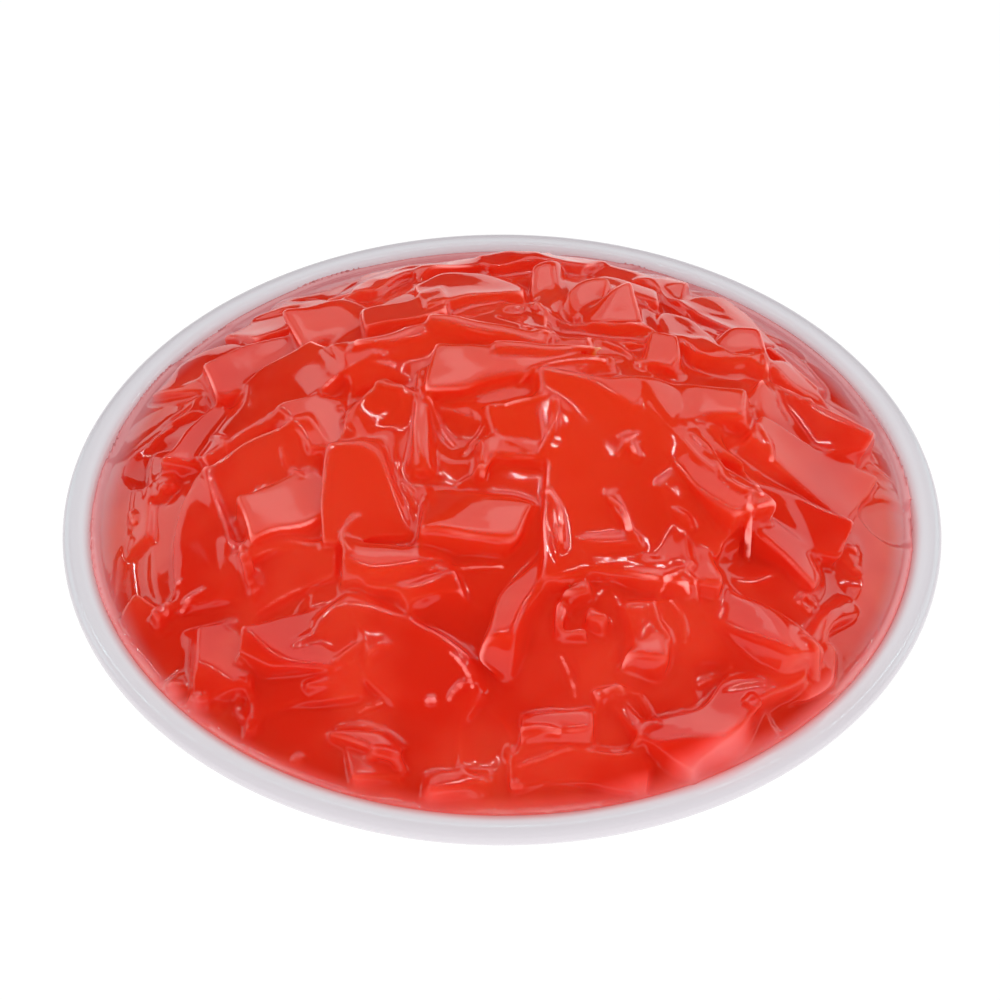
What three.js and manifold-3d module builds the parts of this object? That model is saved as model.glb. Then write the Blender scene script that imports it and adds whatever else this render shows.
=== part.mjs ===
// Chopped fruit jelly heaped in a flared white porcelain dish.
// Millimetres, +Z up, origin at the centre of the foot on the surface it stands on, +Y to the back.

import * as THREE from 'three';
import { ConvexGeometry } from 'three/addons/geometries/ConvexGeometry.js';
import { mergeVertices } from 'three/addons/utils/BufferGeometryUtils.js';
import Module from 'manifold-3d';

const wasm = await Module();
wasm.setup();

// ---- driving dimensions: the dish
const RIM_R = 55;           // outside radius of the lip
const RIM_Z = 24;           // top of the lip above the table
const LIP_CREST_R = 53.2;   // where the lip is highest
const LIP_IN_R = 51.0;      // where the lip turns down into the dish
const LIP_DROP = 1.3;       // how far the lip has fallen there
const FOOT_R = 27.5;        // outside radius of the foot ring
const FOOT_W = 2.6;         // width of the flat that the dish stands on
const FOOT_H = 2.2;         // height of the foot ring
const RECESS_Z = 1.8;       // underside of the floor inside the foot ring
const FLOOR_Z = 5.0;        // top of the floor at the middle
const WELL_R = 27;          // radius of the nearly flat well
const WELL_Z = 7.2;         // height where the well turns up into the flared wall
const DISH_SIDES = 60;      // facets round the dish

// ---- driving dimensions: the heap
const GAP = 0.3;            // clearance between the jelly and the porcelain
const FILL_R = 50.3;        // radius of the jelly at the lip
const FILL_DROP = 0.9;      // how far below the top of the lip the mound starts at its edge
const DOME_H = 18.0;        // height of the mound above its edge
const LEAN_X = 0.004;       // the crown leans to the right, per mm
const LEAN_Y = 0.003;       // and a little to the back
const CORE_DROP = 0.7;      // the solid core lies this far under the mound's surface
const CORE_FADE = 2.5;      // but comes up level with it towards the edge, the faster the larger this is
const CORE_RINGS = 7;       // rings of facets on the core's top
const OVERHANG_R = 52.4;    // how far a piece may reach out over the lip
const HEADROOM_Z = 60;      // above everything

// ---- driving dimensions: the small pieces between the named ones
const FILLERS = 80;         // places tried on an even spiral
const FILLER_REACH = 47;    // radius of the outermost place
const FILLER_LIFT = -2.1;   // middle of a filler against the mound's surface
const FILLER_TILT = 5;      // most that a filler leans off the mound, in degrees
const GOLDEN_ANGLE = 2.39996;
const UNEVEN = 0.2;         // most that a side of a piece leans, for 1 along it
const FLATNESS = 0.2;       // its top and underside lean this much less

// Which way the top of a piece looks: along [x, y, z], or with the mound under it.
const FLUSH = null;
const LEVEL = [0, 0, 1];
const FRONT = [0, -0.27, 1];
const FRONT_LEFT = [-0.32, -0.38, 1];
const FRONT_RIGHT = [0.32, -0.38, 1];
const LEFT = [-0.66, -0.15, 1];
const RIGHT = [0.66, -0.15, 1];

// Pieces of jelly that show, each a slab with uneven faces and cut corners:
// [x, y of the middle of its top, how far that stands over the mound, half length, half width, half depth,
//  yaw, which way its top looks, rise of its far end, roll, taper of its far end from 0 to 1]
const PIECES = [
  // the crown
  [2.0, 6.6, 0.9, 10.6, 4.6, 5.0, 1, LEVEL, 0, 0, 0.6],
  [-12.2, 12.0, 0.8, 8.2, 4.4, 4.2, 9, FRONT, 0, 0, 0.2],
  [-9.4, -0.8, 0.8, 8.8, 1.5, 3.0, 95, LEVEL, 0, 0, 0.2],
  [3.4, -4.6, 0.4, 4.2, 4.4, 4.0, 5, FRONT, 0, 0, 0],
  [15.6, -9.4, -0.1, 13.6, 11.6, 5.0, -84, FLUSH, -2, 0, 0],
  [25.6, -14.0, 0.0, 6.4, 4.0, 4.0, -60, FLUSH, 0, 0, 0.2],
  [23.8, -6.0, 1.0, 11.4, 3.2, 4.0, -48, LEVEL, 0, 0, 0.1],
  // left of the crown
  [-22.9, 0.6, 1.2, 5.2, 3.5, 3.4, -74, LEVEL, 0, 0, 0],
  [-29.6, 9.0, 0.9, 11.4, 6.6, 3.0, 42, FLUSH, 0, 0, 0.1],
  [-16.8, -11.4, 1.3, 7.4, 5.2, 4.4, -88, FRONT, 0, 0, 0],
  [-26.6, -11.6, 1.5, 5.8, 4.2, 3.6, 19, LEVEL, 0, 0, 0],
  [-27.6, -17.2, 1.4, 5.4, 1.7, 2.8, 20, LEVEL, 0, 0, 0.3],
  [-36.8, -11.8, 0.9, 10.6, 3.2, 3.2, 90, LEFT, 0, 0, 0],
  [-42.8, -21.3, 0.5, 4.0, 3.0, 3.0, -48, FRONT_LEFT, 0, 0, 0],
  [-39.0, -21.8, 0.9, 2.4, 1.2, 1.8, 38, LEVEL, 0, 0, 0.5],
  [-34.0, -30.4, 1.9, 5.4, 3.0, 3.6, -84, LEVEL, 0, 0, 0],
  [-24.6, -30.0, 2.0, 7.4, 3.6, 4.8, -4, LEVEL, 0, 0, 0],
  [-29.5, -37.0, 0.8, 2.9, 1.4, 2.2, 86, LEVEL, 0, 0, 0.3],
  [-38.0, -31.6, 0.7, 1.6, 1.4, 1.8, 20, LEVEL, 0, 0, 0],
  [-35.2, -33.8, 0.7, 1.8, 1.6, 1.8, 60, LEVEL, 0, 0, 0],
  // the middle
  [-12.5, -21.6, 1.5, 5.8, 2.8, 2.8, -2, LEVEL, 0, 0, 0.5],
  [-4.2, -16.8, 1.4, 5.6, 4.2, 3.0, -12, LEVEL, 0, 0, 0.1],
  [14.0, -19.6, 0.7, 3.0, 1.2, 2.4, 25, LEVEL, 0, 0, 0],
  [21.8, -18.4, 1.0, 4.4, 2.4, 3.0, 80, LEVEL, 0, 0, 0.7],
  [1.9, -27.8, 1.6, 7.4, 2.9, 3.8, 74, LEVEL, 0, 0, 0.5],
  [6.7, -29.2, 0.8, 2.6, 0.7, 2.0, -88, LEVEL, 0, 0, 0],
  [18.7, -30.2, 1.0, 4.2, 2.2, 3.0, 80, LEVEL, 0, 0, 0.2],
  [-12.0, -33.0, 0.5, 10.4, 5.0, 4.0, -50, FLUSH, 0, 0, 0],
  // right of the crown
  [25.2, 2.2, 0.9, 5.6, 3.2, 3.2, -9, LEVEL, 0, 0, 0],
  [38.0, -2.6, 1.0, 8.4, 4.4, 4.4, -17, RIGHT, 0, 0, 0],
  [45.4, 4.6, 0.6, 4.8, 3.6, 3.2, -6, FLUSH, 0, 0, 0.9],
  [35.0, -15.8, 1.0, 5.8, 3.2, 3.6, -28, RIGHT, 0, 0, 0.1],
  [23.0, -21.4, 1.3, 4.2, 2.6, 4.0, -20, LEVEL, 0, 0, 0],
  [39.2, -23.6, 1.0, 6.2, 1.4, 2.6, 52, RIGHT, 0, 0, 0.1],
  [25.8, -37.6, 2.0, 9.4, 3.8, 4.6, 43, LEVEL, 0, 0, 0.2],
  [44.0, -12.6, 0.6, 2.2, 1.4, 2.0, 70, RIGHT, 0, 0, 0.1],
  // the front edge
  [-18.3, -33.6, 0.6, 3.9, 1.1, 2.6, 28, LEVEL, 0, 0, 0.3],
  [-15.6, -41.8, 1.0, 3.9, 2.6, 2.6, 168, LEVEL, 0, 0, 0.7],
  [-14.5, -45.6, 0.8, 3.0, 2.0, 2.2, -4, LEVEL, 0, 0, 0.3],
  [-5.8, -46.6, 0.9, 3.6, 2.4, 2.4, 5, LEVEL, 0, 0, 0.6],
  [9.0, -45.8, 0.5, 8.4, 2.6, 3.4, 8, FLUSH, 0, 0, 0],
  [6.8, -41.0, 0.6, 4.4, 2.8, 3.0, 4, LEVEL, 0, 0, 0.3],
  [13.2, -37.8, 0.5, 2.3, 0.9, 2.0, 25, LEVEL, 0, 0, 0.3],
  [16.9, -44.6, 0.6, 2.2, 1.8, 2.0, 50, LEVEL, 0, 0, 0.4],
  [28.5, -39.6, 0.4, 4.6, 2.4, 2.6, 30, FLUSH, 0, 0, 0],
  // the back
  [19.3, 10.8, 0.8, 2.4, 3.8, 3.0, -8, LEVEL, 0, 0, 0],
  [14.6, 20.4, 0.8, 3.4, 4.2, 3.2, 12, LEVEL, 0, 0, 0],
  [-12.4, 23.8, 0.6, 4.4, 3.8, 3.6, 10, FLUSH, 0, 0, 0],
  [-4.6, 28.6, 0.6, 6.2, 4.6, 4.0, 5, FLUSH, 0, 0, 0],
  [5.3, 29.3, 0.6, 2.6, 5.0, 3.2, 4, LEVEL, 0, 0, 0],
  [11.0, 25.6, 0.6, 2.2, 3.8, 3.2, -10, LEVEL, 0, 0, 0],
  [16.6, 30.4, 0.5, 5.0, 3.2, 3.6, 0, FLUSH, 0, 0, 0],
  [24.1, 19.3, 0.6, 3.4, 6.0, 3.8, -6, FLUSH, 0, 0, 0],
  [29.6, 18.0, 0.6, 2.6, 5.0, 3.4, -6, LEVEL, 0, 0, 0],
  [36.0, 15.6, 0.5, 4.4, 3.6, 3.6, -40, FLUSH, 0, 0, 0],
  [39.0, 5.2, 0.6, 7.4, 4.0, 3.2, -18, FRONT, 0, 0, 0.2],
  [43.4, 9.4, 0.5, 4.2, 2.6, 3.0, -50, FLUSH, 0, 0, 0],
  [-45.7, -3.4, 0.5, 5.2, 2.4, 2.8, 88, FLUSH, 0, 0, 0.1],
  [-43.0, 2.4, 0.5, 4.4, 3.0, 2.8, 76, FLUSH, 0, 0, 0],
  [-36.7, 6.8, 0.8, 5.6, 3.2, 3.0, 66, LEVEL, 0, 0, 0],
  [-30.9, 18.4, 0.7, 8.2, 3.8, 3.4, 30, LEVEL, 0, 0, 0],
  [-21.0, 24.0, 0.6, 6.0, 4.0, 3.4, 20, LEVEL, 0, 0, 0],
  // between them
  [-1.6, 13.4, 0.7, 9.0, 1.8, 3.0, -8, LEVEL, 0, 0, 0.2],
  [2.1, -7.6, 0.6, 3.6, 1.5, 2.4, 8, LEVEL, 0, 0, 0.2],
  [-26.6, -20.4, 0.4, 7.4, 4.4, 3.4, 6, FRONT_LEFT, 0, 0, 0],
  [-30.9, -20.4, 1.4, 3.0, 1.8, 2.2, -74, LEVEL, 0, 0, 0.7],
  [-23.9, -34.6, 0.4, 7.4, 3.6, 3.2, 4, FRONT_LEFT, 0, 0, 0],
  [-15.5, -29.6, 0.7, 4.0, 1.2, 3.0, -70, LEVEL, 0, 0, 0.2],
  [34.6, -10.8, 0.5, 8.6, 3.4, 3.6, -22, FRONT_RIGHT, 0, 0, 0],
  [22.8, -28.6, 0.4, 7.2, 4.6, 3.4, 10, FRONT_RIGHT, 0, 0, 0.2],
  [21.2, -40.4, 0.7, 3.4, 1.8, 2.4, 80, LEVEL, 0, 0, 0.2],
  [15.9, -39.8, 0.5, 2.9, 0.9, 2.0, -44, LEVEL, 0, 0, 0.2],
  // torn ridges and curls
  [-11.6, 14.6, 1.2, 7.8, 0.7, 2.0, 9, LEVEL, 0, 0, 0.3],
  [6.5, 8.8, 1.4, 7.0, 0.7, 2.0, -4, LEVEL, 0, 0, 0.3],
  [15.0, -6.4, 0.9, 1.6, 0.5, 1.6, -57, LEVEL, 0, 0, 0.3],
  [14.6, -15.5, 0.9, 3.2, 0.5, 1.6, -65, LEVEL, 0, 0, 0.3],
  [6.5, -17.0, 0.9, 4.5, 0.5, 1.6, -73, LEVEL, 0, 0, 0.3],
  [25.6, -6.6, 1.7, 3.9, 0.6, 2.0, -49, LEVEL, 0, 0, 0.3],
  [28.0, -4.4, 1.7, 4.1, 0.6, 2.0, -40, LEVEL, 0, 0, 0.3],
  [29.2, -12.4, 1.4, 3.5, 0.6, 2.0, -58, LEVEL, 0, 0, 0.3],
  [-17.7, 1.8, 1.0, 2.8, 0.6, 1.8, 54, LEVEL, 0, 0, 0.3],
  [-17.4, -2.4, 1.0, 2.1, 0.6, 1.8, -53, LEVEL, 0, 0, 0.3],
  [-12.2, 1.0, 1.1, 3.6, 0.6, 1.8, -89, LEVEL, 0, 0, 0.3],
  [-1.9, -7.8, 1.0, 3.5, 0.6, 1.8, 78, LEVEL, 0, 0, 0.3],
  [-12.6, -24.3, 1.0, 2.9, 0.6, 1.8, -6, LEVEL, 0, 0, 0.3],
  [-20.9, -28.8, 0.9, 3.2, 0.5, 1.8, 21, LEVEL, 0, 0, 0.3],
  [29.9, -33.6, 1.4, 4.5, 0.8, 2.0, 19, LEVEL, 0, 0, 0.2],
  [28.5, -26.2, 1.6, 8.0, 3.3, 4.0, -47, LEVEL, 0, 0, 0.1],
  [9.0, -25.8, 0.8, 2.4, 0.7, 2.0, 14, LEVEL, 0, 0, 0],
  [8.6, -31.2, 0.7, 1.8, 0.6, 2.0, 19, LEVEL, 0, 0, 0],
  [11.9, -28.6, 0.9, 1.6, 1.3, 2.0, -24, LEVEL, 0, 0, 0.3],
  [18.0, -22.8, 1.2, 5.2, 2.0, 3.0, -24, LEVEL, 0, 0, 0.3],
  // dark plates under them
  [-13.8, -2.2, 0.2, 5.6, 4.8, 3.5, 60, FRONT, 0, 0, 0],
  [-28.6, -4.6, 0.5, 6.8, 4.4, 3.5, 22, FRONT_LEFT, 0, 0, 0],
  // the far slope
  [-39.0, 22.5, 0.4, 5.6, 3.8, 3.0, 60, FLUSH, 0, 0, 0],
  [-29.5, 31.0, 0.5, 6.2, 4.2, 3.2, 35, FLUSH, 0, 0, 0.1],
  [-17.5, 36.5, 0.4, 5.6, 4.4, 3.0, 70, FLUSH, 0, 0, 0],
  [-5.5, 39.0, 0.5, 6.4, 3.8, 3.2, 5, FLUSH, 0, 0, 0.2],
  [7.0, 39.5, 0.4, 5.0, 4.4, 3.0, -30, FLUSH, 0, 0, 0],
  [19.0, 37.5, 0.5, 6.0, 3.8, 3.0, -15, FLUSH, 0, 0, 0.1],
  [30.0, 30.0, 0.5, 5.6, 4.2, 3.2, -60, FLUSH, 0, 0, 0],
  [38.0, 23.0, 0.4, 4.6, 3.8, 3.0, -35, FLUSH, 0, 0, 0],
];

const porcelain = new THREE.MeshStandardMaterial({ color: 0xf2f0f1, roughness: 0.15, metalness: 0 });
const jelly = new THREE.MeshStandardMaterial({ color: 0xd92a18, roughness: 0.1, metalness: 0 });

// Repeatable numbers from 0 to 1, the same for the same seed.
function randomFrom(seed) {
  let state = (seed * 7919 + 17) >>> 0;
  const next = () => {
    state = (Math.imul(state, 1664525) + 1013904223) >>> 0;
    return state / 4294967296;
  };
  for (let i = 0; i < 4; i += 1) next();
  return (low, high) => low + (high - low) * next();
}

// One over the middle of the mound, falling with the square of the radius to nothing at its edge.
function inward(x, y) {
  return Math.max(0, 1 - (x * x + y * y) / (FILL_R * FILL_R));
}

// Height of the mound's smooth surface over a point in plan.
function moundHeight(x, y) {
  return RIM_Z - FILL_DROP + DOME_H * inward(x, y) * (1 + LEAN_X * x + LEAN_Y * y);
}

// Height of the solid core over a point in plan.
function coreHeight(x, y) {
  return moundHeight(x, y) - CORE_DROP * Math.min(1, CORE_FADE * inward(x, y));
}

// The mound's upward direction over a point in plan.
function moundNormal(x, y) {
  const step = 0.1;
  const slopeX = (moundHeight(x + step, y) - moundHeight(x - step, y)) / (2 * step);
  const slopeY = (moundHeight(x, y + step) - moundHeight(x, y - step)) / (2 * step);
  return new THREE.Vector3(-slopeX, -slopeY, 1).normalize();
}

// A closed geometry as a solid: shared points merged, collapsed triangles dropped, faces outwards.
function solidOf(geometry) {
  geometry.deleteAttribute('normal');
  geometry.deleteAttribute('uv');
  const merged = mergeVertices(geometry, 1e-4);
  const index = merged.index.array;
  const kept = [];
  for (let i = 0; i < index.length; i += 3) {
    const [a, b, c] = [index[i], index[i + 1], index[i + 2]];
    if (a !== b && b !== c && c !== a) kept.push(a, b, c);
  }
  const points = merged.attributes.position.array;
  if (signedVolume(points, kept) < 0) kept.reverse();
  return new wasm.Manifold(new wasm.Mesh({
    numProp: 3,
    vertProperties: Float32Array.from(points),
    triVerts: Uint32Array.from(kept),
  }));
}

// Six times the volume that the triangles enclose, negative if they face inwards.
function signedVolume(points, index) {
  const at = (i) => new THREE.Vector3().fromArray(points, 3 * i);
  let volume = 0;
  for (let i = 0; i < index.length; i += 3) {
    volume += at(index[i]).dot(at(index[i + 1]).cross(at(index[i + 2])));
  }
  return volume;
}

// A solid back as a geometry.
function geometryOf(solid) {
  const mesh = solid.getMesh();
  const geometry = new THREE.BufferGeometry();
  geometry.setAttribute('position', new THREE.BufferAttribute(Float32Array.from(mesh.vertProperties), 3));
  geometry.setIndex(new THREE.BufferAttribute(Uint32Array.from(mesh.triVerts), 1));
  geometry.computeVertexNormals();
  return geometry;
}

// A profile of radius and height turned round the upright axis.
function turned(profile, sides) {
  return solidOf(new THREE.LatheGeometry(profile, sides).rotateX(Math.PI / 2));
}

// The inside of the dish, from the middle of the floor up to where the lip turns down.
function dishInside() {
  const path = new THREE.Path();
  path.moveTo(0, FLOOR_Z);
  path.quadraticCurveTo(WELL_R - 8, FLOOR_Z + 0.2, WELL_R, WELL_Z);
  path.quadraticCurveTo(41, 14.6, LIP_IN_R - 0.5, RIM_Z - LIP_DROP - 1);
  path.quadraticCurveTo(LIP_IN_R, RIM_Z - LIP_DROP - 0.3, LIP_IN_R + 0.5, RIM_Z - 0.6);
  return path.getPoints(4);
}

// The lip over its crest and round to the outside, then the flared wall down to the foot ring.
function dishOutside() {
  const path = new THREE.Path();
  path.moveTo(LIP_IN_R + 0.5, RIM_Z - 0.6);
  path.quadraticCurveTo(LIP_IN_R + 0.9, RIM_Z, LIP_CREST_R, RIM_Z);
  path.quadraticCurveTo(RIM_R, RIM_Z, RIM_R, RIM_Z - 1.2);
  path.quadraticCurveTo(RIM_R, RIM_Z - 2.1, RIM_R - 1, RIM_Z - 2.8);
  path.quadraticCurveTo(42, 12, FOOT_R + 0.8, FOOT_H);
  path.lineTo(FOOT_R, 0);
  path.lineTo(FOOT_R - FOOT_W, 0);
  path.lineTo(FOOT_R - FOOT_W - 0.8, RECESS_Z);
  path.lineTo(0, RECESS_Z);
  return path.getPoints(3).slice(1);
}

function makeDish() {
  return turned([...dishInside(), ...dishOutside()], DISH_SIDES);
}

// The space that the jelly may take: clear of the porcelain, and open above the lip.
function jellySpace() {
  const inside = dishInside();
  const profile = inside.map((point, i) => {
    const before = inside[Math.max(0, i - 1)];
    const after = inside[Math.min(inside.length - 1, i + 1)];
    const along = after.clone().sub(before).normalize();
    return new THREE.Vector2(Math.max(0, point.x - GAP * along.y), point.y + GAP * along.x);
  });
  profile.push(new THREE.Vector2(LIP_IN_R + 0.6, RIM_Z + GAP));
  profile.push(new THREE.Vector2(OVERHANG_R, RIM_Z + 2 * GAP));
  profile.push(new THREE.Vector2(OVERHANG_R, HEADROOM_Z));
  profile.push(new THREE.Vector2(0, HEADROOM_Z));
  return turned(profile, DISH_SIDES);
}

// The solid middle of the heap: a disc whose top is lifted to just under the mound's surface.
function makeCore() {
  const profile = [new THREE.Vector2(0, 0), new THREE.Vector2(FILL_R, 0)];
  for (let ring = CORE_RINGS; ring >= 0; ring -= 1) {
    profile.push(new THREE.Vector2(FILL_R * ring / CORE_RINGS, RIM_Z));
  }
  const geometry = new THREE.LatheGeometry(profile, DISH_SIDES / 2).rotateX(Math.PI / 2);
  const position = geometry.attributes.position;
  for (let i = 0; i < position.count; i += 1) {
    if (position.getZ(i) > RIM_Z / 2) {
      position.setZ(i, coreHeight(position.getX(i), position.getY(i)));
    }
  }
  return solidOf(geometry);
}

// The flat faces of a broken slab: a direction and a distance from the middle for each.
function slabFaces(half, taper, random) {
  const faces = [];
  for (let axis = 0; axis < 3; axis += 1) {
    for (const side of [1, -1]) {
      const most = axis === 2 ? FLATNESS * UNEVEN : UNEVEN;
      const lean = [random(-most, most), random(-most, most), random(-most, most)];
      lean[axis] = side;
      let distance = half[axis];
      if (axis === 1 && taper > 0) {
        lean[0] += taper * half[1] / (2 * half[0]);
        distance -= taper * half[1] / 2;
      }
      faces.push(faceThrough(new THREE.Vector3(...lean), distance));
    }
  }
  const cuts = 3 + Math.floor(random(0, 3));
  for (let cut = 0; cut < cuts; cut += 1) {
    const signs = half.map(() => (random(-1, 1) > 0 ? 1 : -1));
    const weights = half.map(() => random(0.25, 1));
    const direction = new THREE.Vector3(...half.map((size, i) => signs[i] * weights[i] / size));
    const depth = random(0.66, 0.88);
    faces.push(faceThrough(direction, depth * (weights[0] + weights[1] + weights[2])));
  }
  return faces;
}

// A face whose points satisfy direction . point = distance, with its direction made a unit one.
function faceThrough(direction, distance) {
  const length = direction.length();
  return { direction: direction.divideScalar(length), distance: distance / length };
}

// The corners of the solid inside all the faces: the places where three of them meet.
function cornersOf(faces) {
  const corners = [];
  const inside = (p) => faces.every((face) => face.direction.dot(p) <= face.distance + 1e-6);
  for (let i = 0; i < faces.length; i += 1) {
    for (let j = i + 1; j < faces.length; j += 1) {
      for (let k = j + 1; k < faces.length; k += 1) {
        const corner = meetingPoint(faces[i], faces[j], faces[k]);
        if (corner && inside(corner)) corners.push(corner);
      }
    }
  }
  return corners;
}

function meetingPoint(a, b, c) {
  const bc = b.direction.clone().cross(c.direction);
  const volume = a.direction.dot(bc);
  if (Math.abs(volume) < 1e-3) return null;
  const ca = c.direction.clone().cross(a.direction);
  const ab = a.direction.clone().cross(b.direction);
  return bc.multiplyScalar(a.distance)
    .add(ca.multiplyScalar(b.distance))
    .add(ab.multiplyScalar(c.distance))
    .divideScalar(volume);
}

// How a piece is turned: roll about its length, then the rise of its far end, then yaw in plan.
function turnOf(yaw, rise, roll) {
  const [z, y, x] = [yaw, -rise, roll].map(THREE.MathUtils.degToRad);
  return new THREE.Quaternion().setFromEuler(new THREE.Euler(x, y, z, 'ZYX'));
}

// The shortest turn that takes straight up to a direction.
function layFlat(direction) {
  return new THREE.Quaternion().setFromUnitVectors(new THREE.Vector3(0, 0, 1), direction);
}

// One piece of jelly in its place in the heap.
function makePiece(middle, half, turn, taper, seed) {
  const corners = cornersOf(slabFaces(half, taper, randomFrom(seed)));
  for (const corner of corners) corner.applyQuaternion(turn).add(middle);
  return solidOf(new ConvexGeometry(corners));
}

// The pieces of the list, each hung under the middle of its top.
function namedPieces() {
  return PIECES.map(([x, y, proud, length, width, depth, yaw, top, rise, roll, taper], i) => {
    const look = top === FLUSH ? moundNormal(x, y) : new THREE.Vector3(...top).normalize();
    const turn = layFlat(look).multiply(turnOf(yaw, rise, roll));
    const down = new THREE.Vector3(0, 0, -depth).applyQuaternion(turn);
    const middle = new THREE.Vector3(x, y, moundHeight(x, y) + proud).add(down);
    return makePiece(middle, [length, width, depth], turn, taper, i + 1);
  });
}

// Smaller pieces on an even spiral, wherever no other piece lies, flat on the mound.
function fillerPieces() {
  const random = randomFrom(FILLERS);
  const taken = PIECES.map(([x, y, , length, width]) => ({ x, y, reach: Math.max(length, width) }));
  const solids = [];
  for (let i = 0; i < FILLERS; i += 1) {
    const radius = FILLER_REACH * Math.sqrt((i + 0.5) / FILLERS);
    const x = radius * Math.cos(i * GOLDEN_ANGLE) + random(-1.5, 1.5);
    const y = radius * Math.sin(i * GOLDEN_ANGLE) + random(-1.5, 1.5);
    const half = [random(3.2, 5.8), random(2.0, 3.6), random(2.0, 3.2)];
    const own = turnOf(random(0, 180), random(-FILLER_TILT, FILLER_TILT), random(-FILLER_TILT, FILLER_TILT));
    const taper = random(0, 0.4);
    const crowded = taken.some((p) => Math.hypot(x - p.x, y - p.y) < 0.62 * p.reach + 1.4);
    if (crowded) continue;
    taken.push({ x, y, reach: half[0] });
    const middle = new THREE.Vector3(x, y, moundHeight(x, y) + FILLER_LIFT);
    const turn = layFlat(moundNormal(x, y)).multiply(own);
    solids.push(makePiece(middle, half, turn, taper, PIECES.length + 1 + i));
  }
  return solids;
}

function makeHeap() {
  let heap = makeCore();
  for (const piece of [...namedPieces(), ...fillerPieces()]) heap = heap.add(piece);
  return outerBody(heap.intersect(jellySpace()));
}

// The largest closed skin alone, so that sealed hollows are filled and loose scraps dropped.
function outerBody(solid) {
  return solid.decompose().reduce((most, skin) => (skin.volume() > most.volume() ? skin : most));
}

function addNode(group, name, solid, material) {
  const mesh = new THREE.Mesh(geometryOf(solid), material);
  mesh.name = name;
  group.add(mesh);
}

const group = new THREE.Group();
addNode(group, 'dish', makeDish(), porcelain);
addNode(group, 'jelly_heap', makeHeap(), jelly);

export default group;
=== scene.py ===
"""Chopped fruit jelly heaped in a flared white porcelain dish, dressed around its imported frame.

Everything is in metres in the part's own frame: +Z up, the foot of the dish at the origin, +Y to the back.
Sizes are kept in millimetres where a person would measure them, and turned to metres by MM.

The dish is a profile turned round the upright axis. The jelly is a distance field in millimetres, negative
inside: a core under a parabola dome, with broken slabs, torn hollows and low wet ridges blended into it.
One skin is laid where the field is zero.
"""

from __future__ import annotations

import itertools
import logging
import math
from collections.abc import Callable
from dataclasses import dataclass
from enum import Enum

import bpy
import numpy as np
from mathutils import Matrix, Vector


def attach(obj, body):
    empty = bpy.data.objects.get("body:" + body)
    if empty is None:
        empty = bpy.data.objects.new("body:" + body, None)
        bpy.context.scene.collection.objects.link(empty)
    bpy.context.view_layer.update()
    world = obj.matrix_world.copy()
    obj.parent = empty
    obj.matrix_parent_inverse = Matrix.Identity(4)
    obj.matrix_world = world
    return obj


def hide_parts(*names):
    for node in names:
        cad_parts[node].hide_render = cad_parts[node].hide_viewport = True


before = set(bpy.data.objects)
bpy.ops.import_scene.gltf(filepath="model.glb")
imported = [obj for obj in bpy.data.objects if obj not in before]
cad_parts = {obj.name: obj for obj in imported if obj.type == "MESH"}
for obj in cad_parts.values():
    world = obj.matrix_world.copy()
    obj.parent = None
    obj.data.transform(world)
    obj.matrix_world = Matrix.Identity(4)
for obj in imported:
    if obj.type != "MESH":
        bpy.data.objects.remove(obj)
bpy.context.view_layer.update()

MM = 0.001
WHITE = "ffffff"
# The turn in radians from one place of an even spread to the next, and half a turn in degrees.
GOLDEN_ANGLE = 2.39996
HALF_TURN = 180
# Farther than any shape reaches, in millimetres.
FAR_MM = 1e9
# Smaller than any slope of the field.
SMALLEST = 1e-6
# The eight corners of a grid cell.
CORNERS = tuple(itertools.product((0, 1), repeat=3))
LOG = logging.getLogger("jelly_dish")

# Settings of the two kinds of node that most finishes are mixed with: a soft step, and a mix of two
# colours, with the numbers of its sockets: how much of the second, the first, the second, and the result.
SOFT_STEP = {"interpolation_type": "SMOOTHSTEP"}
COLOUR_MIX = {"data_type": "RGBA"}
SHARE, FIRST, SECOND, MIXED = 0, 6, 7, 2


# ---------------------------------------------------------------- small helpers


def linear(hex_colour: str) -> tuple[float, float, float, float]:
    """Turn an sRGB hex colour such as "d92a18" into linear light.

    Args:
        hex_colour: six hex digits, two each for red, green and blue.

    Returns:
        Red, green and blue from 0 to 1, and alpha 1.
    """
    parts = [int(hex_colour[i : i + 2], 16) / 255 for i in (0, 2, 4)]
    curved = [c / 12.92 if c <= 0.04045 else ((c + 0.055) / 1.055) ** 2.4 for c in parts]
    return (*curved, 1.0)


def metres(places_mm: tuple[float, float, float]) -> tuple[float, ...]:
    """Turn a place in millimetres into metres."""
    return tuple(part * MM for part in places_mm)


def add_node(tree: bpy.types.NodeTree, kind: str, settings: dict | None = None,
             values: dict | None = None, links: dict | None = None) -> bpy.types.Node:
    """Add a shader node with its settings, socket values and incoming links.

    Args:
        tree: the node tree that takes the node.
        kind: the node's type name, such as "ShaderNodeTexNoise".
        settings: attributes of the node itself.
        values: input socket name or number to its value.
        links: input socket name or number to the output socket that feeds it.

    Returns:
        The new node.
    """
    made = tree.nodes.new(kind)
    for name, value in (settings or {}).items():
        setattr(made, name, value)
    for name, value in (values or {}).items():
        made.inputs[name].default_value = value
    for name, source in (links or {}).items():
        tree.links.new(source, made.inputs[name])
    return made


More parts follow.
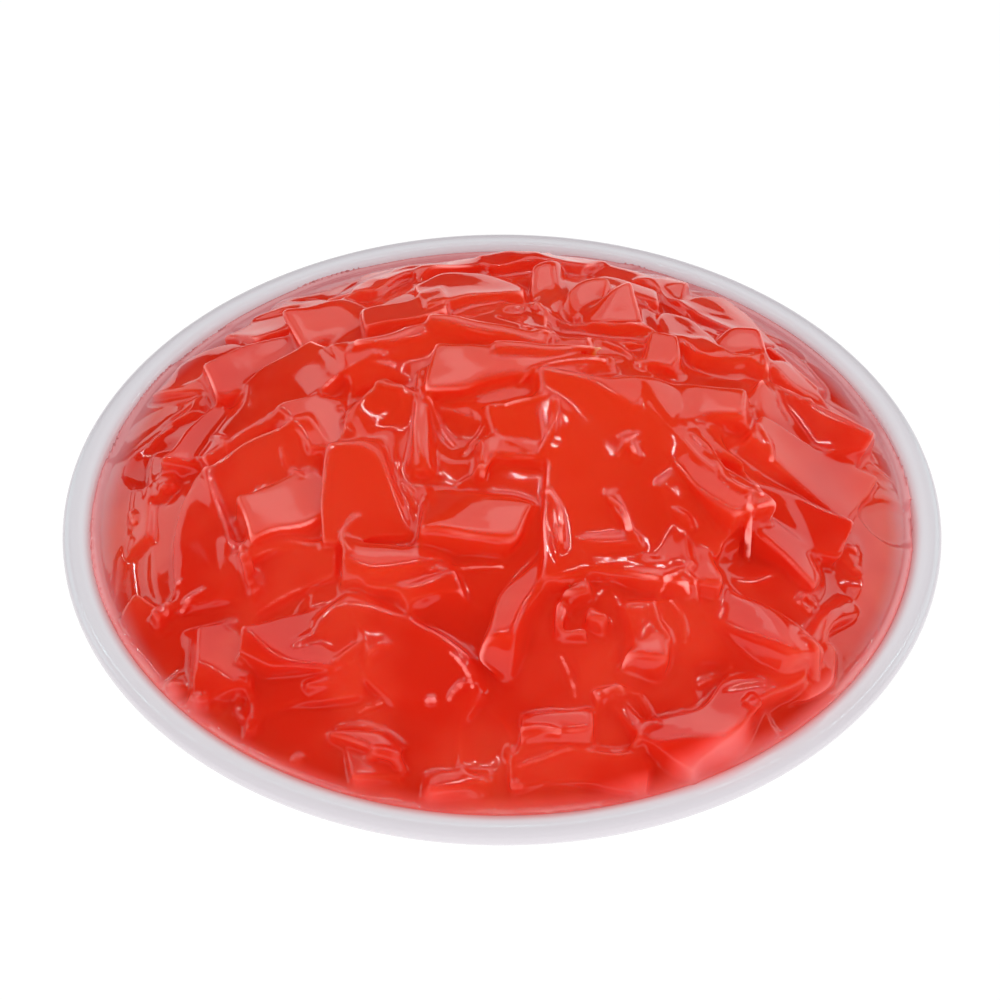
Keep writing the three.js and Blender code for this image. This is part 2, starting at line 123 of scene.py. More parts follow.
def plan_distance(tree: bpy.types.NodeTree, place: bpy.types.NodeSocket,
                  centre_mm: tuple[float, float, float]) -> bpy.types.NodeSocket:
    """Add the distance in plan from a centre: the length of (x, y, 0) less the centre.

    Args:
        tree: the node tree that takes the two nodes.
        place: the socket that gives the place on the piece.
        centre_mm: the centre, with its z at 0.

    Returns:
        The socket that gives the distance in metres.
    """
    flat = add_node(tree, "ShaderNodeVectorMath", settings={"operation": "MULTIPLY"},
                    values={1: (1, 1, 0)}, links={0: place})
    away = add_node(tree, "ShaderNodeVectorMath", settings={"operation": "DISTANCE"},
                    values={1: metres(centre_mm)}, links={0: flat.outputs["Vector"]})
    return away.outputs["Value"]


def new_material(name: str) -> tuple[bpy.types.Material, bpy.types.NodeTree]:
    """Make an empty node material.

    Args:
        name: the material's name.

    Returns:
        The material and its tree.
    """
    material = bpy.data.materials.new(name)
    material.use_nodes = True
    material.node_tree.nodes.clear()
    return material, material.node_tree


def new_object(name: str, data: bpy.types.ID) -> bpy.types.Object:
    """Put a mesh, a lamp or a camera into the scene as an object at the origin.

    Args:
        name: the object's name.
        data: what the object holds.

    Returns:
        The object.
    """
    made = bpy.data.objects.new(name, data)
    bpy.context.scene.collection.objects.link(made)
    return made


def mesh_from(name: str, points: np.ndarray, *faces: np.ndarray) -> bpy.types.Mesh:
    """Build a mesh from whole arrays.

    Args:
        name: the mesh's name.
        points: an (n, 3) array of places in metres.
        faces: (m, 3) or (m, 4) arrays of point numbers, anticlockwise from outside.

    Returns:
        The mesh, smooth shaded.
    """
    mesh = bpy.data.meshes.new(name)
    corners = np.concatenate([part.ravel() for part in faces]).astype(np.int32)
    sides = np.concatenate([np.full(len(part), part.shape[1], np.int32) for part in faces])
    mesh.vertices.add(len(points))
    mesh.vertices.foreach_set("co", points.astype(np.float32).ravel())
    mesh.loops.add(len(corners))
    mesh.loops.foreach_set("vertex_index", corners)
    mesh.polygons.add(len(sides))
    mesh.polygons.foreach_set("loop_start", np.cumsum(sides, dtype=np.int32) - sides)
    mesh.update(calc_edges=True)
    mesh.shade_smooth()
    return mesh


def curve_points(start: tuple, pull: tuple, end: tuple, steps: int) -> np.ndarray:
    """Return points of a parabola arc: (1-t)^2 start + 2t(1-t) pull + t^2 end, for t from 0 to 1.

    Args:
        start: radius and height where the arc begins.
        pull: the point that bends it.
        end: radius and height where it ends.
        steps: how many steps along it.

    Returns:
        A (steps + 1, 2) array of radius and height.
    """
    t = np.linspace(0, 1, steps + 1)[:, None]
    a, b, c = (np.array(p, float) for p in (start, pull, end))
    return (1 - t) ** 2 * a + 2 * t * (1 - t) * b + t**2 * c


class Draw:
    """Repeatable numbers from a seed, the same draw as the solids are made with.

    Each state is the last one times FACTOR plus ADDED, modulo SPAN, and the number is its share of SPAN.
    """

    FACTOR = 1664525
    ADDED = 1013904223
    SPAN = 2**32
    SEED_FACTOR = 7919
    SEED_ADDED = 17
    THROWN_AWAY = 4

    def __init__(self, seed: int) -> None:
        """Start the draw and throw its first numbers away.

        Args:
            seed: a whole number, 0 or more, that names the draw.
        """
        self.state = (seed * self.SEED_FACTOR + self.SEED_ADDED) % self.SPAN
        for _ in range(self.THROWN_AWAY):
            self.step()

    def step(self) -> float:
        """Return the next number from 0 to 1."""
        self.state = (self.state * self.FACTOR + self.ADDED) % self.SPAN
        return self.state / self.SPAN

    def __call__(self, low: float, high: float) -> float:
        """Return a number between low and high."""
        return low + (high - low) * self.step()

    def about(self, most: float) -> float:
        """Return a number up to most to either side of 0."""
        return self(-most, most)


# ---------------------------------------------------------------- finishes


@dataclass(frozen=True)
class JellyFinish:
    """Set gelatine jelly, clear red, chopped with a spoon and wet.

    Light soaks into it, and a painted red glow of its own lifts its faces evenly and keeps its shadows
    warm. Its wet skin mirrors the lamps as clean pink patches with sharp outlines. At its thin brim the
    porcelain under it makes it milky, and a painted pink glow covers the shade where it meets the dish. Its
    crown is painted warmer, and a broken edge shows as a fine painted pale highlight line.
    """

    # The body: it drifts slowly between two reds, so that no two pieces look alike.
    colour: str = "f2452c"
    deep: str = "e62c18"
    cloud_mm: float = 14.0
    cloud_detail: float = 2.0
    drift_from: float = 0.36
    drift_to: float = 0.64
    # The crown of the heap, painted a little warmer than the rest, a painted glow where light
    # fills its thick top.
    crown: str = "f4401e"
    crown_from_mm: float = 30.0
    crown_to_mm: float = 44.0
    # The thin edge on the porcelain, milky pink, where light no longer soaks in.
    thin: str = "de8e92"
    thin_from_mm: float = 47.6
    thin_to_mm: float = 51.3
    thin_centre_mm: tuple[float, float, float] = (0.0, -2.4, 0.0)
    # Painted glow: emission that stands in for light come through the jelly, a dim red inside, and a pinker
    # one at the brim that covers the shade where the jelly meets the dish.
    glow: float = 0.60
    painted_inner_glow: str = "520904"
    painted_brim_glow: str = "b04a46"
    # where the painted pink brim glow lies, in plan
    brim_from_mm: float = 50.4
    brim_to_mm: float = 52.2
    brim_centre_mm: tuple[float, float, float] = (0.0, 1.6, 0.0)
    # Painted highlights: fine pale lines of emission along broken edges, the bend per mm at which they
    # show, in patches, fading outwards.
    painted_edge_highlight: str = "ffc4be"
    edge_from: float = 1.0
    edge_to: float = 2.8
    edge_patch_mm: float = 9.0
    patch_from: float = 0.42
    patch_to: float = 0.64
    patch_least: float = 0.08
    edge_fade_from_mm: float = 36.0
    edge_fade_to_mm: float = 50.0
    edge_at_brim: float = 0.1
    # How far light of each colour soaks in: red far, green and blue hardly at all.
    radius: tuple[float, float, float] = (1.0, 0.16, 0.07)
    reach_mm: float = 9.0
    # The wet film: smooth, its roughness drifting with the clouds between two shares of itself, and with
    # ripples so faint that they only stir the outlines of the mirrored lamps.
    ior: float = 1.45
    roughness: float = 0.06
    smoothest: float = 0.6
    roughest: float = 1.5
    ripple_mm: float = 2.2
    ripple_detail: float = 1.0
    ripple_depth_mm: float = 0.012

    def make(self) -> bpy.types.Material:
        """Put the body, the painted glow in it and the wet film together.

        Returns:
            The material.
        """
        material, tree = new_material("gelatine_jelly_wet_broken")
        place = add_node(tree, "ShaderNodeTexCoord").outputs["Object"]
        cloud = add_node(tree, "ShaderNodeTexNoise",
                         values={"Scale": 1 / (self.cloud_mm * MM), "Detail": self.cloud_detail},
                         links={"Vector": place})
        thick = add_node(tree, "ShaderNodeMapRange", settings=SOFT_STEP,
                         values={"From Min": self.thin_from_mm * MM, "From Max": self.thin_to_mm * MM,
                                 "To Min": 1.0, "To Max": 0.0},
                         links={"Value": plan_distance(tree, place, self.thin_centre_mm)})
        body = add_node(tree, "ShaderNodeMix", settings=COLOUR_MIX,
                        values={FIRST: linear(self.thin)},
                        links={SHARE: thick.outputs["Result"],
                               SECOND: self.reds(tree, place, cloud.outputs["Fac"])})
        gloss = add_node(tree, "ShaderNodeMapRange",
                         values={"To Min": self.roughness * self.smoothest,
                                 "To Max": self.roughness * self.roughest},
                         links={"Value": cloud.outputs["Fac"]})
        ripple = add_node(tree, "ShaderNodeTexNoise",
                          values={"Scale": 1 / (self.ripple_mm * MM), "Detail": self.ripple_detail},
                          links={"Vector": place})
        bump = add_node(tree, "ShaderNodeBump",
                        values={"Strength": 1.0, "Distance": self.ripple_depth_mm * MM},
                        links={"Height": ripple.outputs["Fac"]})
        # The emission is painted glow and painted edge highlights; the jelly is no lamp.
        shader = add_node(tree, "ShaderNodeBsdfPrincipled",
                          settings={"subsurface_method": "RANDOM_WALK"},
                          values={"Subsurface Radius": self.radius, "Subsurface Scale": self.reach_mm * MM,
                                  "IOR": self.ior, "Emission Strength": self.glow},
                          links={"Base Color": body.outputs[MIXED], "Roughness": gloss.outputs["Result"],
                                 "Emission Color": self.light(tree, place),
                                 "Subsurface Weight": thick.outputs["Result"],
                                 "Normal": bump.outputs["Normal"]})
        add_node(tree, "ShaderNodeOutputMaterial", links={"Surface": shader.outputs["BSDF"]})
        return material

    def reds(self, tree: bpy.types.NodeTree, place: bpy.types.NodeSocket,
             cloud: bpy.types.NodeSocket) -> bpy.types.NodeSocket:
        """Add the body's red: it drifts with the clouds, and is painted warmer towards the crown, a painted
        glow.

        Args:
            tree: the material's tree.
            place: the socket that gives the place on the piece.
            cloud: the socket that gives the clouds.

        Returns:
            The socket that gives the colour.
        """
        drift = add_node(tree, "ShaderNodeMapRange", settings=SOFT_STEP,
                         values={"From Min": self.drift_from, "From Max": self.drift_to},
                         links={"Value": cloud})
        tint = add_node(tree, "ShaderNodeMix", settings=COLOUR_MIX,
                        values={FIRST: linear(self.deep), SECOND: linear(self.colour)},
                        links={SHARE: drift.outputs["Result"]})
        height = add_node(tree, "ShaderNodeSeparateXYZ", links={0: place})
        # The crown's painted glow: the red turns warmer with height.
        lit = add_node(tree, "ShaderNodeMapRange", settings=SOFT_STEP,
                       values={"From Min": self.crown_from_mm * MM, "From Max": self.crown_to_mm * MM},
                       links={"Value": height.outputs["Z"]})
        crowned = add_node(tree, "ShaderNodeMix", settings=COLOUR_MIX,
                           values={SECOND: linear(self.crown)},
                           links={SHARE: lit.outputs["Result"], FIRST: tint.outputs[MIXED]})
        return crowned.outputs[MIXED]

    def light(self, tree: bpy.types.NodeTree, place: bpy.types.NodeSocket) -> bpy.types.NodeSocket:
        """Add the jelly's painted glow: dim within, pale painted highlights along edges, pink at the brim.

        Args:
            tree: the material's tree.
            place: the socket that gives the place on the piece.

        Returns:
            The socket that gives the painted glow's colour.
        """
        outward = plan_distance(tree, place, self.brim_centre_mm)
        # The pale lines along sharp edges are painted highlights, placed by the skin's bend.
        bend = add_node(tree, "ShaderNodeAttribute", settings={"attribute_name": "bend"})
        sharp = add_node(tree, "ShaderNodeMapRange", settings=SOFT_STEP,
                         values={"From Min": self.edge_from, "From Max": self.edge_to},
                         links={"Value": bend.outputs["Fac"]})
        patch = add_node(tree, "ShaderNodeTexNoise",
                         values={"Scale": 1 / (self.edge_patch_mm * MM), "Detail": 0.0},
                         links={"Vector": place})
        shown = add_node(tree, "ShaderNodeMapRange", settings=SOFT_STEP,
                         values={"From Min": self.patch_from, "From Max": self.patch_to,
                                 "To Min": self.patch_least},
                         links={"Value": patch.outputs["Fac"]})
        inner = add_node(tree, "ShaderNodeMapRange", settings=SOFT_STEP,
                         values={"From Min": self.edge_fade_from_mm * MM,
                                 "From Max": self.edge_fade_to_mm * MM,
                                 "To Min": 1.0, "To Max": self.edge_at_brim},
                         links={"Value": outward})
        patched = add_node(tree, "ShaderNodeMath", settings={"operation": "MULTIPLY"},
                           links={0: shown.outputs["Result"], 1: inner.outputs["Result"]})
        edge = add_node(tree, "ShaderNodeMath", settings={"operation": "MULTIPLY"},
                        links={0: sharp.outputs["Result"], 1: patched.outputs["Value"]})
        painted_glow_mix = add_node(tree, "ShaderNodeMix", settings=COLOUR_MIX,
                          values={FIRST: linear(self.painted_inner_glow), SECOND: linear(self.painted_edge_highlight)},
                          links={SHARE: edge.outputs["Value"]})
        brim = add_node(tree, "ShaderNodeMapRange", settings=SOFT_STEP,
                        values={"From Min": self.brim_from_mm * MM, "From Max": self.brim_to_mm * MM},
                        links={"Value": outward})
        light = add_node(tree, "ShaderNodeMix", settings=COLOUR_MIX,
                         values={SECOND: linear(self.painted_brim_glow)},
                         links={SHARE: brim.outputs["Result"], FIRST: painted_glow_mix.outputs[MIXED]})
        return light.outputs[MIXED]


@dataclass(frozen=True)
class PorcelainFinish:
    """White porcelain, cast and glazed.

    The glaze is smooth and glassy over a cool white body, so the lip shows soft grey shading with a blurred
    highlight. Inside the lip it is painted pink, a painted glow for the light that comes through the
    jelly's edge.
    """

    colour: str = "f0eaf0"
    # The painted pink glow lies inside the lip alone: it ends before the crest, and below this height there
    # is none.
    painted_pink_glow: str = "ee8480"
    pink_glow_from_mm: float = 49.8
    pink_glow_to_mm: float = 52.6
    pink_glow_centre_mm: tuple[float, float, float] = (0.0, -1.0, 0.0)
    outside_below_mm: float = 20.0
    inside_above_mm: float = 21.5
    # The glaze: smooth, with slow waves that bend the blurred highlight on the lip.
    ior: float = 1.5
    roughness: float = 0.18
    wave_mm: float = 9.0
    wave_detail: float = 1.0
    wave_depth_mm: float = 0.03

    def make(self) -> bpy.types.Material:
        """Put the white body, its painted pink glow and the waved glaze together.

        Returns:
            The material.
        """
        material, tree = new_material("porcelain_cast_glazed")
        place = add_node(tree, "ShaderNodeTexCoord").outputs["Object"]
        fade = add_node(tree, "ShaderNodeMapRange", settings=SOFT_STEP,
                        values={"From Min": self.pink_glow_from_mm * MM, "From Max": self.pink_glow_to_mm * MM},
                        links={"Value": plan_distance(tree, place, self.pink_glow_centre_mm)})
        height = add_node(tree, "ShaderNodeSeparateXYZ", links={0: place})
        below = add_node(tree, "ShaderNodeMapRange", settings=SOFT_STEP,
                         values={"From Min": self.outside_below_mm * MM,
                                 "From Max": self.inside_above_mm * MM,
                                 "To Min": 1.0, "To Max": 0.0},
                         links={"Value": height.outputs["Z"]})
        # clean is the share left white, without the painted pink glow.
        clean = add_node(tree, "ShaderNodeMath", settings={"operation": "MAXIMUM"},
                         links={0: fade.outputs["Result"], 1: below.outputs["Result"]})
        tint = add_node(tree, "ShaderNodeMix", settings=COLOUR_MIX,
                        values={FIRST: linear(self.painted_pink_glow), SECOND: linear(self.colour)},
                        links={SHARE: clean.outputs["Value"]})
        wave = add_node(tree, "ShaderNodeTexNoise",
                        values={"Scale": 1 / (self.wave_mm * MM), "Detail": self.wave_detail},
                        links={"Vector": place})
        bump = add_node(tree, "ShaderNodeBump",
                        values={"Strength": 1.0, "Distance": self.wave_depth_mm * MM},
                        links={"Height": wave.outputs["Fac"]})
        shader = add_node(tree, "ShaderNodeBsdfPrincipled",
                          values={"Roughness": self.roughness, "IOR": self.ior},
                          links={"Base Color": tint.outputs[MIXED], "Normal": bump.outputs["Normal"]})
        add_node(tree, "ShaderNodeOutputMaterial", links={"Surface": shader.outputs["BSDF"]})
        return material


@dataclass(frozen=True)
class SheetFinish:
    """Matt studio sheet, rolled out flat and lit a little from within, so that it stays plain and pale."""

    colour: str = "585858"
    roughness: float = 0.9
    glow: float = 0.95

    def make(self) -> bpy.types.Material:
        """Put the rough grey sheet and its even white glow together.

        Returns:
            The material.
        """
        material, tree = new_material("studio_sheet_matt_white")
        shader = add_node(tree, "ShaderNodeBsdfPrincipled",
                          values={"Base Color": linear(self.colour), "Roughness": self.roughness,
                                  "Specular IOR Level": 0.0, "Emission Color": linear(WHITE),
                                  "Emission Strength": self.glow})
        add_node(tree, "ShaderNodeOutputMaterial", links={"Surface": shader.outputs["BSDF"]})
        return material


# ---------------------------------------------------------------- the dish


@dataclass
class Dish:
    """A shallow flared dish with a rounded lip and a foot ring. Sizes in millimetres."""

    # the rim: its outside radius and top, the radius of its crest, and how it rolls over and under
    rim_r: float = 55.0
    rim_z: float = 24.0
    crest_r: float = 53.2
    rim_side: float = 1.2
    rim_turn: float = 2.1
    rim_under: float = 2.8
    rim_tuck: float = 1.0
    # the lip's inside bend: its radius, how far under the rim it lies, and how wide it is
    lip_in_r: float = 51.0
    lip_drop: float = 1.3
    lip_half: float = 0.5
    lip_foot: float = 1.0
    lip_pull: float = 0.3
    lip_over: float = 0.9
    lip_end: float = 0.6
    # the inside: a nearly flat floor, a well, and a wall that flares towards wall_pull
    floor_z: float = 5.0
    floor_edge: float = 8.0
    floor_rise: float = 0.2
    well_r: float = 27.0
    well_z: float = 7.2
    wall_pull: tuple[float, float] = (41.0, 14.6)
    # the outside: a wall that flares towards under_pull, the foot ring, and the recess in it
    under_pull: tuple[float, float] = (42.0, 12.0)
    foot_r: float = 27.5
    foot_w: float = 2.6
    foot_h: float = 2.2
    foot_flare: float = 0.8
    foot_slope: float = 0.2
    recess_z: float = 1.8
    recess_slope: float = 0.6
    recess_edge: float = 0.8
    edge_round: float = 0.5
    edge_steps: int = 5
    # how finely it is turned
    sides: int = 256
    inside_steps: int = 24
    outside_steps: int = 16

    def inside(self) -> np.ndarray:
        """Work out the profile from the middle of the floor up to where the lip turns over.

        Returns:
            An (n, 2) array of radius and height.
        """
        well = (self.well_r, self.well_z)
        lip = (self.lip_in_r - self.lip_half, self.rim_z - self.lip_drop - self.lip_foot)
        pull = (self.lip_in_r, self.rim_z - self.lip_drop - self.lip_pull)
        floor_pull = (self.well_r - self.floor_edge, self.floor_z + self.floor_rise)
        return np.concatenate([
            curve_points((0, self.floor_z), floor_pull, well, self.inside_steps),
            curve_points(well, self.wall_pull, lip, self.inside_steps)[1:],
            curve_points(lip, pull, self.lip_top(), self.inside_steps // 2)[1:],
        ])

    def lip_top(self) -> tuple[float, float]:
        """Return the radius and height at which the lip turns over."""
        return self.lip_in_r + self.lip_half, self.rim_z - self.lip_end

    def over_lip(self) -> np.ndarray:
        """Work out the profile from where the lip turns over up to its crest.

        Returns:
            An (n, 2) array of radius and height.
        """
        pull = (self.lip_in_r + self.lip_over, self.rim_z)
        return curve_points(self.lip_top(), pull, (self.crest_r, self.rim_z), self.outside_steps)[1:]

    def outside(self) -> np.ndarray:
        """Work out the profile over the lip, down the flared wall and round the foot ring to the middle.

        Returns:
            An (n, 2) array of radius and height.
        """
        crest, steps, soft = (self.crest_r, self.rim_z), self.outside_steps, self.edge_round
        side = (self.rim_r, self.rim_z - self.rim_side)
        under = (self.rim_r - self.rim_tuck, self.rim_z - self.rim_under)
        foot = (self.foot_r + self.foot_flare, self.foot_h)
        ring = self.foot_r - self.foot_w
        recess = ring - self.recess_edge
        return np.concatenate([
            self.over_lip(),
            curve_points(crest, (self.rim_r, self.rim_z), side, steps)[1:],
            curve_points(side, (self.rim_r, self.rim_z - self.rim_turn), under, steps)[1:],
            curve_points(under, self.under_pull, foot, steps)[1:],
            curve_points((self.foot_r + self.foot_slope, soft), (self.foot_r, 0), (self.foot_r - soft, 0),
                         self.edge_steps),
            curve_points((ring + soft, 0), (ring, 0), (ring - self.foot_slope, soft), self.edge_steps),
            curve_points((ring - self.recess_slope, self.recess_z - soft), (recess, self.recess_z),
                         (recess - soft, self.recess_z), self.edge_steps),
            np.array([[0, self.recess_z]]),
        ])

    def build(self) -> bpy.types.Object:
        """Turn the closed profile round the upright axis: x = r cos a, y = r sin a, and z as it is.

        Quads join the rings, and a fan of triangles closes the floor and the recess to their middles.

        Returns:
            The dish.
        """
        profile = np.concatenate([self.inside(), self.outside()])
        ring = profile[1:-1]
        angle = np.arange(self.sides) * 2 * math.pi / self.sides
        x = ring[:, :1] * np.cos(angle)
        y = ring[:, :1] * np.sin(angle)
        z = np.repeat(ring[:, 1:], self.sides, axis=1)
        points = np.stack([x, y, z], axis=-1).reshape(-1, 3)
        points = np.concatenate([points, [[0, 0, profile[0, 1]], [0, 0, profile[-1, 1]]]])
        row = np.arange(len(ring) - 1)[:, None] * self.sides
        last, middle = (len(ring) - 1) * self.sides, np.full(self.sides, len(ring) * self.sides)
        here = np.arange(self.sides)
        after = (here + 1) % self.sides
        quads = np.stack([row + here, row + self.sides + here, row + self.sides + after, row + after], -1)
        floor = np.stack([middle, here, after], -1)
        recess = np.stack([middle + 1, last + after, last + here], -1)
        mesh = mesh_from("dish_porcelain", points * MM, quads.reshape(-1, 4), floor, recess)
        made = new_object("dish_porcelain", mesh)
        made.data.materials.append(PorcelainFinish().make())
        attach(made, "root")
        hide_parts("dish")
        return made


# ---------------------------------------------------------------- the pieces of jelly


class Top(Enum):
    """Which way a piece's top looks: FLUSH follows the mound under it, the others are (x, y, z) ways."""

    FLUSH = (0.0, 0.0, 0.0)
    LEVEL = (0.0, 0.0, 1.0)
    FRONT = (0.0, -0.27, 1.0)
    FRONT_LEFT = (-0.32, -0.38, 1.0)
    FRONT_RIGHT = (0.32, -0.38, 1.0)
    LEFT = (-0.66, -0.15, 1.0)
    RIGHT = (0.66, -0.15, 1.0)


FLUSH, LEVEL, FRONT, FRONT_LEFT, FRONT_RIGHT, LEFT, RIGHT = Top


@dataclass(frozen=True)
class Piece:
    """One piece of jelly that shows, a slab placed by the middle of its top, in millimetres and degrees.

    Proud is how far its top stands over the mound, and length, width and depth are half sizes. Taper
    narrows its far end, from 0 to 1, and rise lifts that end.
    """

    x: float
    y: float
    proud: float
    length: float
    width: float
    depth: float
    yaw: float
    top: Top
    taper: float = 0.0
    rise: float = 0.0


